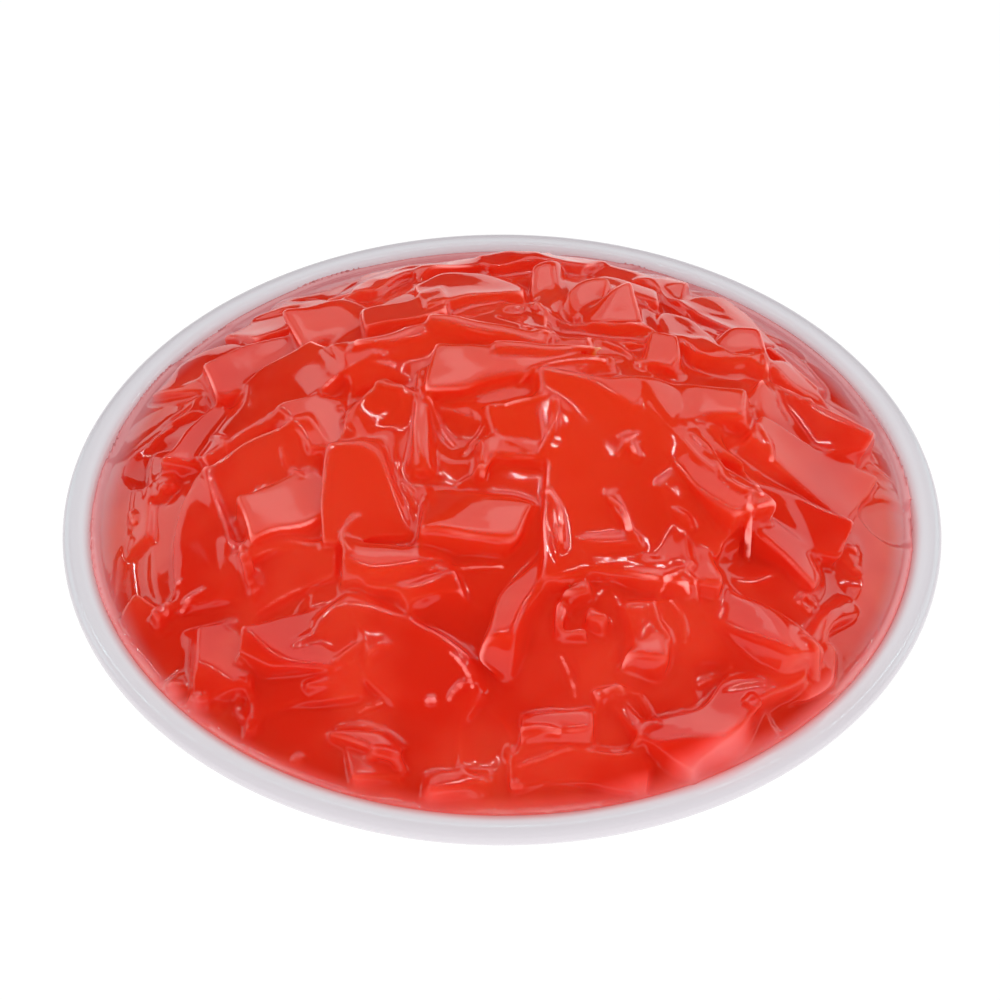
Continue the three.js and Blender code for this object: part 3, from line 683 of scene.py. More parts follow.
PIECES = tuple(Piece(*row) for row in (
    # the crown
    (2.0, 6.6, 0.9, 10.6, 4.6, 5.0, 1, LEVEL, 0.6),
    (-12.2, 12.0, 0.8, 8.2, 4.4, 4.2, 9, FRONT, 0.2),
    (-9.4, -0.8, 0.8, 8.8, 1.5, 3.0, 95, LEVEL, 0.2),
    (3.4, -4.6, 0.4, 4.2, 4.4, 4.0, 5, FRONT),
    (15.6, -9.4, -0.1, 13.6, 11.6, 5.0, -84, FLUSH, 0, -2),
    (25.6, -14.0, 0.0, 6.4, 4.0, 4.0, -60, FLUSH, 0.2),
    (23.8, -6.0, 1.0, 11.4, 3.2, 4.0, -48, LEVEL, 0.1),
    # left of the crown
    (-22.9, 0.6, 1.2, 5.2, 3.5, 3.4, -74, LEVEL),
    (-29.6, 9.0, 0.9, 11.4, 6.6, 3.0, 42, FLUSH, 0.1),
    (-16.8, -11.4, 1.3, 7.4, 5.2, 4.4, -88, FRONT),
    (-26.6, -11.6, 1.5, 5.8, 4.2, 3.6, 19, LEVEL),
    (-27.6, -17.2, 1.4, 5.4, 1.7, 2.8, 20, LEVEL, 0.3),
    (-36.8, -11.8, 0.9, 10.6, 3.2, 3.2, 90, LEFT),
    (-42.8, -21.3, 0.5, 4.0, 3.0, 3.0, -48, FRONT_LEFT),
    (-39.0, -21.8, 0.9, 2.4, 1.2, 1.8, 38, LEVEL, 0.5),
    (-34.0, -30.4, 1.9, 5.4, 3.0, 3.6, -84, LEVEL),
    (-24.6, -30.0, 2.0, 7.4, 3.6, 4.8, -4, LEVEL),
    (-29.5, -37.0, 0.8, 2.9, 1.4, 2.2, 86, LEVEL, 0.3),
    (-38.0, -31.6, 0.7, 1.6, 1.4, 1.8, 20, LEVEL),
    (-35.2, -33.8, 0.7, 1.8, 1.6, 1.8, 60, LEVEL),
    # the middle
    (-12.5, -21.6, 1.5, 5.8, 2.8, 2.8, -2, LEVEL, 0.5),
    (-4.2, -16.8, 1.4, 5.6, 4.2, 3.0, -12, LEVEL, 0.1),
    (14.0, -19.6, 0.7, 3.0, 1.2, 2.4, 25, LEVEL),
    (21.8, -18.4, 1.0, 4.4, 2.4, 3.0, 80, LEVEL, 0.7),
    (1.9, -27.8, 1.6, 7.4, 2.9, 3.8, 74, LEVEL, 0.5),
    (6.7, -29.2, 0.8, 2.6, 0.7, 2.0, -88, LEVEL),
    (18.7, -30.2, 1.0, 4.2, 2.2, 3.0, 80, LEVEL, 0.2),
    (-12.0, -33.0, 0.5, 10.4, 5.0, 4.0, -50, FLUSH),
    # right of the crown
    (25.2, 2.2, 0.9, 5.6, 3.2, 3.2, -9, LEVEL),
    (38.0, -2.6, 1.0, 8.4, 4.4, 4.4, -17, RIGHT),
    (45.4, 4.6, 0.6, 4.8, 3.6, 3.2, -6, FLUSH, 0.9),
    (35.0, -15.8, 1.0, 5.8, 3.2, 3.6, -28, RIGHT, 0.1),
    (23.0, -21.4, 1.3, 4.2, 2.6, 4.0, -20, LEVEL),
    (39.2, -23.6, 1.0, 6.2, 1.4, 2.6, 52, RIGHT, 0.1),
    (25.8, -37.6, 2.0, 9.4, 3.8, 4.6, 43, LEVEL, 0.2),
    (44.0, -12.6, 0.6, 2.2, 1.4, 2.0, 70, RIGHT, 0.1),
    # the front edge
    (-18.3, -33.6, 0.6, 3.9, 1.1, 2.6, 28, LEVEL, 0.3),
    (-15.6, -41.8, 1.0, 3.9, 2.6, 2.6, 168, LEVEL, 0.7),
    (-14.5, -45.6, 0.8, 3.0, 2.0, 2.2, -4, LEVEL, 0.3),
    (-5.8, -46.6, 0.9, 3.6, 2.4, 2.4, 5, LEVEL, 0.6),
    (9.0, -45.8, 0.5, 8.4, 2.6, 3.4, 8, FLUSH),
    (6.8, -41.0, 0.6, 4.4, 2.8, 3.0, 4, LEVEL, 0.3),
    (13.2, -37.8, 0.5, 2.3, 0.9, 2.0, 25, LEVEL, 0.3),
    (16.9, -44.6, 0.6, 2.2, 1.8, 2.0, 50, LEVEL, 0.4),
    (28.5, -39.6, 0.4, 4.6, 2.4, 2.6, 30, FLUSH),
    # the back
    (19.3, 10.8, 0.8, 2.4, 3.8, 3.0, -8, LEVEL),
    (14.6, 20.4, 0.8, 3.4, 4.2, 3.2, 12, LEVEL),
    (-12.4, 23.8, 0.6, 4.4, 3.8, 3.6, 10, FLUSH),
    (-4.6, 28.6, 0.6, 6.2, 4.6, 4.0, 5, FLUSH),
    (5.3, 29.3, 0.6, 2.6, 5.0, 3.2, 4, LEVEL),
    (11.0, 25.6, 0.6, 2.2, 3.8, 3.2, -10, LEVEL),
    (16.6, 30.4, 0.5, 5.0, 3.2, 3.6, 0, FLUSH),
    (24.1, 19.3, 0.6, 3.4, 6.0, 3.8, -6, FLUSH),
    (29.6, 18.0, 0.6, 2.6, 5.0, 3.4, -6, LEVEL),
    (36.0, 15.6, 0.5, 4.4, 3.6, 3.6, -40, FLUSH),
    (39.0, 5.2, 0.6, 7.4, 4.0, 3.2, -18, FRONT, 0.2),
    (43.4, 9.4, 0.5, 4.2, 2.6, 3.0, -50, FLUSH),
    (-45.7, -3.4, 0.5, 5.2, 2.4, 2.8, 88, FLUSH, 0.1),
    (-43.0, 2.4, 0.5, 4.4, 3.0, 2.8, 76, FLUSH),
    (-36.7, 6.8, 0.8, 5.6, 3.2, 3.0, 66, LEVEL),
    (-30.9, 18.4, 0.7, 8.2, 3.8, 3.4, 30, LEVEL),
    (-21.0, 24.0, 0.6, 6.0, 4.0, 3.4, 20, LEVEL),
    # between them
    (-1.6, 13.4, 0.7, 9.0, 1.8, 3.0, -8, LEVEL, 0.2),
    (2.1, -7.6, 0.6, 3.6, 1.5, 2.4, 8, LEVEL, 0.2),
    (-26.6, -20.4, 0.4, 7.4, 4.4, 3.4, 6, FRONT_LEFT),
    (-30.9, -20.4, 1.4, 3.0, 1.8, 2.2, -74, LEVEL, 0.7),
    (-23.9, -34.6, 0.4, 7.4, 3.6, 3.2, 4, FRONT_LEFT),
    (-15.5, -29.6, 0.7, 4.0, 1.2, 3.0, -70, LEVEL, 0.2),
    (34.6, -10.8, 0.5, 8.6, 3.4, 3.6, -22, FRONT_RIGHT),
    (22.8, -28.6, 0.4, 7.2, 4.6, 3.4, 10, FRONT_RIGHT, 0.2),
    (21.2, -40.4, 0.7, 3.4, 1.8, 2.4, 80, LEVEL, 0.2),
    (15.9, -39.8, 0.5, 2.9, 0.9, 2.0, -44, LEVEL, 0.2),
    # torn ridges and curls
    (-11.6, 14.6, 1.2, 7.8, 0.7, 2.0, 9, LEVEL, 0.3),
    (6.5, 8.8, 1.4, 7.0, 0.7, 2.0, -4, LEVEL, 0.3),
    (15.0, -6.4, 0.9, 1.6, 0.5, 1.6, -57, LEVEL, 0.3),
    (14.6, -15.5, 0.9, 3.2, 0.5, 1.6, -65, LEVEL, 0.3),
    (6.5, -17.0, 0.9, 4.5, 0.5, 1.6, -73, LEVEL, 0.3),
    (25.6, -6.6, 1.7, 3.9, 0.6, 2.0, -49, LEVEL, 0.3),
    (28.0, -4.4, 1.7, 4.1, 0.6, 2.0, -40, LEVEL, 0.3),
    (29.2, -12.4, 1.4, 3.5, 0.6, 2.0, -58, LEVEL, 0.3),
    (-17.7, 1.8, 1.0, 2.8, 0.6, 1.8, 54, LEVEL, 0.3),
    (-17.4, -2.4, 1.0, 2.1, 0.6, 1.8, -53, LEVEL, 0.3),
    (-12.2, 1.0, 1.1, 3.6, 0.6, 1.8, -89, LEVEL, 0.3),
    (-1.9, -7.8, 1.0, 3.5, 0.6, 1.8, 78, LEVEL, 0.3),
    (-12.6, -24.3, 1.0, 2.9, 0.6, 1.8, -6, LEVEL, 0.3),
    (-20.9, -28.8, 0.9, 3.2, 0.5, 1.8, 21, LEVEL, 0.3),
    (29.9, -33.6, 1.4, 4.5, 0.8, 2.0, 19, LEVEL, 0.2),
    (28.5, -26.2, 1.6, 8.0, 3.3, 4.0, -47, LEVEL, 0.1),
    (9.0, -25.8, 0.8, 2.4, 0.7, 2.0, 14, LEVEL),
    (8.6, -31.2, 0.7, 1.8, 0.6, 2.0, 19, LEVEL),
    (11.9, -28.6, 0.9, 1.6, 1.3, 2.0, -24, LEVEL, 0.3),
    (18.0, -22.8, 1.2, 5.2, 2.0, 3.0, -24, LEVEL, 0.3),
    # dark plates under them
    (-13.8, -2.2, 0.2, 5.6, 4.8, 3.5, 60, FRONT),
    (-28.6, -4.6, 0.5, 6.8, 4.4, 3.5, 22, FRONT_LEFT),
    # the far slope
    (-39.0, 22.5, 0.4, 5.6, 3.8, 3.0, 60, FLUSH),
    (-29.5, 31.0, 0.5, 6.2, 4.2, 3.2, 35, FLUSH, 0.1),
    (-17.5, 36.5, 0.4, 5.6, 4.4, 3.0, 70, FLUSH),
    (-5.5, 39.0, 0.5, 6.4, 3.8, 3.2, 5, FLUSH, 0.2),
    (7.0, 39.5, 0.4, 5.0, 4.4, 3.0, -30, FLUSH),
    (19.0, 37.5, 0.5, 6.0, 3.8, 3.0, -15, FLUSH, 0.1),
    (30.0, 30.0, 0.5, 5.6, 4.2, 3.2, -60, FLUSH),
    (38.0, 23.0, 0.4, 4.6, 3.8, 3.0, -35, FLUSH),
))


@dataclass(frozen=True)
class Ridge:
    """A low wet ridge on the skin, finer than a grain of rice, or a drop where its ends lie close. In mm.

    It goes from one end to the other, and bows to its left.
    """

    start_x: float
    start_y: float
    end_x: float
    end_y: float
    half_width: float
    bow: float


RIDGES = tuple(Ridge(*row) for row in (
    # the crown
    (-16.0, 5.5, -12.5, 4.0, 0.5, -0.5),
    (-20.0, 3.5, -17.5, 5.5, 0.5, 0.2),
    (-10.0, 5.5, -6.0, -4.5, 0.5, -0.5),
    (-4.5, -6.5, -2.0, -3.0, 0.5, 0.3),
    (-5.0, -11.5, -2.5, -11.0, 0.6, 0.2),
    (-12.0, -10.5, -10.5, -14.0, 0.6, 0.3),
    (2.0, 4.0, 12.5, 7.0, 0.5, 0.5),
    (13.0, 13.5, 17.5, 8.0, 0.5, 0.8),
    (10.5, 15.0, 11.0, 10.5, 0.5, 0.4),
    (0.5, -1.5, 5.0, -0.5, 0.5, 0.2),
    (6.5, -1.0, 4.5, -8.5, 0.5, 0.7),
    (14.0, -8.0, 16.5, -4.5, 0.4, 0.2),
    # left
    (-27.0, -1.5, -24.5, -6.5, 0.5, -0.4),
    (-36.0, 5.0, -34.0, 0.5, 0.5, 0.3),
    (-42.0, -1.0, -40.5, -0.5, 0.8, 0.1),
    (-46.0, -3.0, -45.5, -5.0, 0.8, 0.1),
    (-18.0, -21.5, -17.5, -16.0, 0.5, 1.2),
    (-31.0, -18.5, -30.0, -21.0, 0.7, 0.2),
    (-40.5, -22.0, -39.0, -18.0, 0.6, 0.4),
    (-38.5, -21.5, -36.0, -20.0, 0.6, 0.2),
    (-20.0, -35.0, -16.5, -32.0, 0.6, 0.2),
    (-31.0, -33.5, -29.5, -38.0, 0.5, 1.1),
    (-31.0, -33.5, -29.5, -38.0, 0.5, -0.9),
    (-39.0, -31.5, -38.5, -31.5, 1.1, 0.0),
    (-35.5, -34.5, -35.0, -34.5, 1.0, 0.0),
    (-31.0, -30.5, -30.5, -31.0, 0.7, 0.0),
    (-44.5, 10.0, -42.0, 11.5, 0.6, 0.3),
    # the front
    (-19.0, -40.0, -14.0, -41.0, 0.6, 0.3),
    (-16.5, -38.5, -14.0, -38.0, 0.6, 0.2),
    (-24.0, -43.0, -23.5, -43.0, 0.9, 0.0),
    (-15.5, -44.5, -11.5, -46.0, 0.8, 0.3),
    (-8.5, -39.0, -8.0, -39.0, 0.9, 0.0),
    (-6.0, -39.0, -4.0, -37.5, 0.7, 0.3),
    (-8.5, -24.0, 0.0, -23.0, 0.5, 0.5),
    (-6.0, -34.0, -3.5, -38.0, 0.5, 0.4),
    (7.0, -33.5, 8.5, -38.0, 0.5, 0.3),
    (12.0, -38.0, 15.5, -37.0, 0.6, 0.4),
    (16.0, -37.0, 18.0, -41.5, 0.5, 0.4),
    (2.5, -43.0, 6.5, -43.5, 0.6, 0.2),
    (2.0, -46.5, 16.0, -43.5, 0.5, 0.6),
    (1.5, -48.5, 2.0, -48.5, 0.8, 0.0),
    # right
    (23.0, -3.5, 26.5, -10.5, 0.5, 0.8),
    (26.5, -11.0, 31.0, -14.5, 0.6, -0.5),
    (21.0, -15.0, 22.5, -17.0, 0.7, 0.2),
    (5.0, -13.5, 7.0, -19.0, 0.5, 0.5),
    (13.0, -14.5, 15.0, -19.0, 0.5, 0.5),
    (37.5, 10.0, 42.0, 9.5, 0.5, 0.4),
    (31.5, 1.0, 33.0, -3.5, 0.5, 0.3),
    (18.5, -25.5, 22.5, -22.5, 0.6, -0.6),
    (21.0, -24.0, 23.0, -26.0, 0.6, 0.4),
    (20.0, -26.5, 21.5, -31.0, 0.5, 0.6),
    (18.0, -27.0, 19.5, -31.5, 0.5, -0.5),
    (29.5, -17.5, 30.5, -13.0, 0.6, 0.4),
    (35.5, -22.0, 37.5, -21.5, 0.6, 0.9),
    (35.5, -22.0, 37.5, -21.5, 0.6, -0.9),
    (23.0, -34.5, 27.0, -32.5, 0.7, 0.4),
    (35.5, -30.5, 37.0, -32.5, 0.8, 0.3),
    (28.5, -38.0, 30.0, -38.0, 0.6, 0.8),
    (28.5, -38.0, 30.0, -38.0, 0.6, -0.8),
    (42.5, -11.5, 43.0, -11.5, 0.8, 0.0),
    (43.0, -14.0, 43.5, -14.0, 0.7, 0.0),
))


@dataclass
class Mound:
    """The smooth shape that the pieces of jelly are heaped to. Sizes in millimetres."""

    rim_z: float = 24.0
    fill_r: float = 50.3
    fill_drop: float = 0.9
    height: float = 18.0
    lean_x: float = 0.004
    lean_y: float = 0.003
    core_drop: float = 0.7
    core_fade: float = 2.5
    slope_step: float = 0.1

    def inward(self, x: np.ndarray, y: np.ndarray) -> np.ndarray:
        """Return 1 over the middle, falling with the square of the radius to 0 at the edge."""
        return np.maximum(0, 1 - (x * x + y * y) / self.fill_r**2)

    def top(self, x: np.ndarray, y: np.ndarray) -> np.ndarray:
        """Return the height of the mound: a parabola dome that leans to the right and back."""
        lean = 1 + self.lean_x * x + self.lean_y * y
        return self.rim_z - self.fill_drop + self.height * self.inward(x, y) * lean

    def core(self, x: np.ndarray, y: np.ndarray) -> np.ndarray:
        """Return the height of the core: core_drop under the mound, and level with it at the edge."""
        return self.top(x, y) - self.core_drop * np.minimum(1, self.core_fade * self.inward(x, y))

    def upward(self, x: float, y: float) -> np.ndarray:
        """Work out which way the mound's surface looks over a point, from its height to either side.

        Args:
            x: the point's place across.
            y: the point's place to the back.

        Returns:
            The unit direction.
        """
        step = self.slope_step
        slope_x = (self.top(x + step, y) - self.top(x - step, y)) / (2 * step)
        slope_y = (self.top(x, y + step) - self.top(x, y - step)) / (2 * step)
        direction = np.array([-slope_x, -slope_y, 1.0])
        return direction / np.linalg.norm(direction)


def spread_out(number: int, count: int, reach: float, start: float = 0.0) -> tuple[float, float]:
    """Work out one place of an even spread in plan: r = reach sqrt((i + 1/2) / count), golden angles apart.

    Args:
        number: which place, from 0.
        count: how many places there are.
        reach: the radius that they fill.
        start: the bearing of the first, in radians.

    Returns:
        The place's x and y.
    """
    radius = reach * math.sqrt((number + 0.5) / count)
    bearing = number * GOLDEN_ANGLE + start
    return radius * math.cos(bearing), radius * math.sin(bearing)


def turn_of(yaw: float, rise: float, roll: float) -> np.ndarray:
    """Work out a piece's turn: roll about its length, then the rise of its far end, then yaw in plan.

    Args:
        yaw: degrees anticlockwise from above.
        rise: degrees that its far end is lifted.
        roll: degrees about its length.

    Returns:
        The (3, 3) rotation matrix.
    """
    a, b, c = np.radians([yaw, -rise, roll])
    about_z = np.array([[np.cos(a), -np.sin(a), 0], [np.sin(a), np.cos(a), 0], [0, 0, 1]])
    about_y = np.array([[np.cos(b), 0, np.sin(b)], [0, 1, 0], [-np.sin(b), 0, np.cos(b)]])
    about_x = np.array([[1, 0, 0], [0, np.cos(c), -np.sin(c)], [0, np.sin(c), np.cos(c)]])
    return about_z @ about_y @ about_x


def lay_flat(direction: np.ndarray) -> np.ndarray:
    """Work out the shortest turn that takes straight up to a direction: I + K + K K / (1 + cos).

    Args:
        direction: a unit direction.

    Returns:
        The (3, 3) rotation matrix.
    """
    cross = np.cross([0, 0, 1], direction)
    skew = np.array([[0, -cross[2], cross[1]], [cross[2], 0, -cross[0]], [-cross[1], cross[0], 0]])
    return np.eye(3) + skew + skew @ skew / (1 + direction[2])


@dataclass(frozen=True)
class Breakage:
    """How jelly breaks under a spoon: the ranges that each piece's unevenness is drawn from."""

    # how far its faces lean, and that of its top and underside as a share
    lean: float = 0.2
    flat_share: float = 0.2
    # how many corners are cut, each towards its weights, and how far out of the whole corner
    fewest_corners: int = 3
    more_corners: int = 3
    corner_weight: tuple[float, float] = (0.25, 1)
    corner_cut: tuple[float, float] = (0.66, 0.88)
    # how round its edges are, in millimetres
    edge: tuple[float, float] = (0.15, 0.42)


BREAKAGE = Breakage()


@dataclass
class Slab:
    """One broken piece of jelly: a middle, the directions and distances of its faces, and a soft edge."""

    middle: np.ndarray
    directions: np.ndarray
    distances: np.ndarray
    reach: float
    edge: float

    @classmethod
    def broken(cls, middle: np.ndarray, half: list[float], turn: np.ndarray, taper: float,
               draw: Draw) -> Slab:
        """Break a slab out of jelly: six uneven faces and three to five cut corners.

        Args:
            middle: its middle in millimetres.
            half: half length, half width and half depth.
            turn: its rotation matrix.
            taper: how far its far end narrows, from 0 to 1.
            draw: the numbers that make it uneven.

        Returns:
            The slab.
        """
        directions, distances = [], []
        for axis, side in itertools.product(range(3), (1, -1)):
            lean = [draw.about(BREAKAGE.lean) for _ in range(3)]
            if axis == 2:
                lean = [BREAKAGE.flat_share * part for part in lean]
            lean[axis] = side
            distance = half[axis]
            if axis == 1 and taper > 0:
                lean[0] += taper * half[1] / (2 * half[0])
                distance -= taper * half[1] / 2
            directions.append(lean)
            distances.append(distance)
        for _ in range(BREAKAGE.fewest_corners + int(draw(0, BREAKAGE.more_corners))):
            signs = [1 if draw.about(1) > 0 else -1 for _ in half]
            weights = [draw(*BREAKAGE.corner_weight) for _ in half]
            directions.append([s * w / size for s, w, size in zip(signs, weights, half)])
            distances.append(draw(*BREAKAGE.corner_cut) * sum(weights))
        directions = np.array(directions, float)
        length = np.linalg.norm(directions, axis=1)
        return cls(middle, directions / length[:, None] @ turn.T, np.array(distances) / length,
                   float(np.linalg.norm(half)), draw(*BREAKAGE.edge))

    def distance(self, px: np.ndarray, py: np.ndarray, pz: np.ndarray) -> np.ndarray:
        """Work out the soft largest of the face distances, e log(sum exp(d / e)), whose edges are round.

        Args:
            px: places across, seen from the slab's middle.
            py: places to the back.
            pz: places upwards.

        Returns:
            The distances, negative inside.
        """
        faces = [np.float32(n[0]) * px + np.float32(n[1]) * py + np.float32(n[2]) * pz - np.float32(h)
                 for n, h in zip(self.directions, self.distances)]
        largest = np.maximum.reduce(faces)
        total = sum(np.exp((face - largest) / np.float32(self.edge)) for face in faces)
        return largest + np.float32(self.edge) * np.log(total)


@dataclass
class Scoop:
    """A trough torn out of the jelly: a rod of empty space along a line, which leaves a hollow face."""

    middle: np.ndarray
    along: np.ndarray
    radius: float

    @property
    def reach(self) -> float:
        """Return how far from its middle it cuts."""
        return self.radius + float(np.linalg.norm(self.along))

    def distance(self, px: np.ndarray, py: np.ndarray, pz: np.ndarray) -> np.ndarray:
        """Work out the distance to the rod's skin: the distance to its middle line less its radius.

        Args:
            px: places across, seen from the scoop's middle.
            py: places to the back.
            pz: places upwards.

        Returns:
            The distances, negative inside.
        """
        a = self.along.astype(np.float32)
        t = (px * a[0] + py * a[1] + pz * a[2]) / np.float32(a @ a)
        t = np.clip(t, -1, 1)
        away = np.sqrt((px - t * a[0]) ** 2 + (py - t * a[1]) ** 2 + (pz - t * a[2]) ** 2)
        return away - np.float32(self.radius)


@dataclass
class Wrinkle:
    """A ridge or drop laid on the skin: rods end to end, each with a radius at both its ends."""

    THINNEST = 0.7
    SWELL = 0.3

    points: np.ndarray
    radii: np.ndarray

    @classmethod
    def along(cls, ridge: Ridge, skin: Callable, step: float, sunk: float) -> Wrinkle:
        """Lay a ridge: p(t) = start + t (end - start) + bow sin(pi t) sideways, thinner at its ends.

        Args:
            ridge: where it lies, in plan.
            skin: gives the skin's height over arrays of x and y.
            step: about how long each rod is.
            sunk: how much of the half width lies under the skin.

        Returns:
            The wrinkle.
        """
        start, end = np.array([ridge.start_x, ridge.start_y]), np.array([ridge.end_x, ridge.end_y])
        length = float(np.linalg.norm(end - start))
        t = np.linspace(0, 1, 2 + int(length / step))[:, None]
        side = np.array([start[1] - end[1], end[0] - start[0]]) / length
        plan = start + t * (end - start) + ridge.bow * np.sin(math.pi * t) * side
        radii = ridge.half_width * (cls.THINNEST + cls.SWELL * np.sin(math.pi * t[:, 0]))
        height = skin(plan[:, 0], plan[:, 1]) - sunk * radii
        return cls(np.column_stack([plan, height]), radii)

    @property
    def middle(self) -> np.ndarray:
        """Return the mean of its points."""
        return self.points.mean(0)

    @property
    def reach(self) -> float:
        """Return how far from its middle it goes."""
        return float((np.linalg.norm(self.points - self.middle, axis=1) + self.radii).max())

    def distance(self, px: np.ndarray, py: np.ndarray, pz: np.ndarray) -> np.ndarray:
        """Work out the least of the distances to its rods' skins.

        Args:
            px: places across, seen from the wrinkle's middle.
            py: places to the back.
            pz: places upwards.

        Returns:
            The distances, negative inside.
        """
        local = (self.points - self.middle).astype(np.float32)
        best = np.float32(FAR_MM)
        for a, b, thick, thin in zip(local[:-1], local[1:], self.radii[:-1], self.radii[1:]):
            way = b - a
            t = ((px - a[0]) * way[0] + (py - a[1]) * way[1] + (pz - a[2]) * way[2]) / (way @ way)
            t = np.clip(t, 0, 1)
            away = np.sqrt((px - a[0] - t * way[0]) ** 2 + (py - a[1] - t * way[1]) ** 2
                           + (pz - a[2] - t * way[2]) ** 2)
            best = np.minimum(best, away - np.float32(thick) - np.float32(thin - thick) * t)
        return best


# ---------------------------------------------------------------- the heap of jelly


def smooth_least(a: np.ndarray, b: np.ndarray, width: float) -> np.ndarray:
    """Blend two fields' smaller where they are close: min - h^2 width / 4, with h = 1 - |a - b| / width.

    Args:
        a: one field.
        b: the other.
        width: how close they are where the blend begins.

    Returns:
        The blended field.
    """
    near = np.maximum(np.float32(width) - np.abs(a - b), 0) / np.float32(width)
    return np.minimum(a, b) - near * near * np.float32(width / 4)


@dataclass
class Field:
    """A field on a regular grid, negative inside, the place of its first value, and the grid's spacing."""

    SLOPE_REACH = 0.8

    values: np.ndarray
    origin: np.ndarray
    step: float

    def value(self, points: np.ndarray) -> np.ndarray:
        """Work out the field at any points: the weighted mean of the eight grid places round each.

        Args:
            points: an (n, 3) array of places.

        Returns:
            The n values.
        """
        place = (points - self.origin) / self.step
        lower = np.clip(np.floor(place).astype(int), 0, np.array(self.values.shape) - 2)
        part = place - lower
        total = np.zeros(len(points))
        for corner in CORNERS:
            share = np.where(corner, part, 1 - part)
            total += share[:, 0] * share[:, 1] * share[:, 2] * self.values[tuple((lower + corner).T)]
        return total

    def slope(self, points: np.ndarray) -> np.ndarray:
        """Work out the field's slope at any points, from its values a short way to each side.

        Args:
            points: an (n, 3) array of places.

        Returns:
            An (n, 3) array, which looks outwards.
        """
        reach = self.step * self.SLOPE_REACH
        slope = np.empty_like(points)
        for axis, shift in enumerate(np.eye(3) * reach):
            slope[:, axis] = (self.value(points + shift) - self.value(points - shift)) / (2 * reach)
        return slope

    def bend(self, points: np.ndarray) -> np.ndarray:
        """Work out how sharply the skin bends at any points: the sum of the field's second differences.

        Args:
            points: an (n, 3) array of places.

        Returns:
            The n bends, per millimetre.
        """
        here = 2 * self.value(points)
        total = np.zeros(len(points))
        for shift in np.eye(3) * self.step:
            total += self.value(points + shift) + self.value(points - shift)
            total -= here
        return total / self.step**2

    def skin(self) -> tuple[np.ndarray, np.ndarray]:
        """Skin the field where it changes sign: one point in each crossed cell, one quad across each edge.

        Returns:
            The (n, 3) points, and the (m, 4) quads, which face outwards.
        """
        inside = self.values < 0
        size = [length - 1 for length in inside.shape]
        count = np.zeros(size, np.int8)
        for corner in CORNERS:
            count += inside[tuple(slice(first, length + first) for first, length in zip(corner, size))]
        cells = np.argwhere((count > 0) & (count < len(CORNERS)))
        number = np.full(count.shape, -1, np.int32)
        number[tuple(cells.T)] = np.arange(len(cells))
        points = self.origin + self.step * (cells + self.crossings(cells))
        return points, np.concatenate([self.quads(inside, number, axis) for axis in range(3)])

    def crossings(self, cells: np.ndarray) -> np.ndarray:
        """Work out the mean place in each cell at which its edges cross the skin.

        Args:
            cells: an (n, 3) array of the crossed cells' numbers along the axes.

        Returns:
            An (n, 3) array of places, from 0 to 1 along each axis.
        """
        total = np.zeros((len(cells), 3))
        hits = np.zeros(len(cells))
        for a, axis in itertools.product(np.array(CORNERS), range(3)):
            if a[axis]:
                continue
            b = a.copy()
            b[axis] = 1
            start = self.values[tuple((cells + a).T)]
            stop = self.values[tuple((cells + b).T)]
            crossed = (start < 0) != (stop < 0)
            part = np.where(crossed, start / np.where(crossed, start - stop, 1), 0)
            place = a + part[:, None] * (b - a)
            total += place * crossed[:, None]
            hits += crossed
        return total / hits[:, None]

    def quads(self, inside: np.ndarray, number: np.ndarray, axis: int) -> np.ndarray:
        """Lay a quad across each grid edge along an axis that goes through the skin.

        Args:
            inside: which grid places are inside.
            number: the point's number in each crossed cell.
            axis: which way the edges go.

        Returns:
            An (n, 4) array of point numbers, anticlockwise from outside.
        """
        one, two = (axis + 1) % 3, (axis + 2) % 3
        ahead = np.take(inside, range(1, inside.shape[axis]), axis)
        here = np.take(inside, range(0, inside.shape[axis] - 1), axis)
        edges = np.argwhere(here != ahead)
        keep = (edges[:, one] > 0) & (edges[:, two] > 0)
        keep &= (edges[:, one] < inside.shape[one] - 1) & (edges[:, two] < inside.shape[two] - 1)
        edges = edges[keep]
        outward = here[tuple(edges.T)]
        around = []
        for back_one, back_two in ((1, 1), (0, 1), (0, 0), (1, 0)):
            cell = edges.copy()
            cell[:, one] -= back_one
            cell[:, two] -= back_two
            around.append(number[tuple(cell.T)])
        ring = np.stack(around, 1)
        ring[~outward] = ring[~outward][:, ::-1]
        return ring


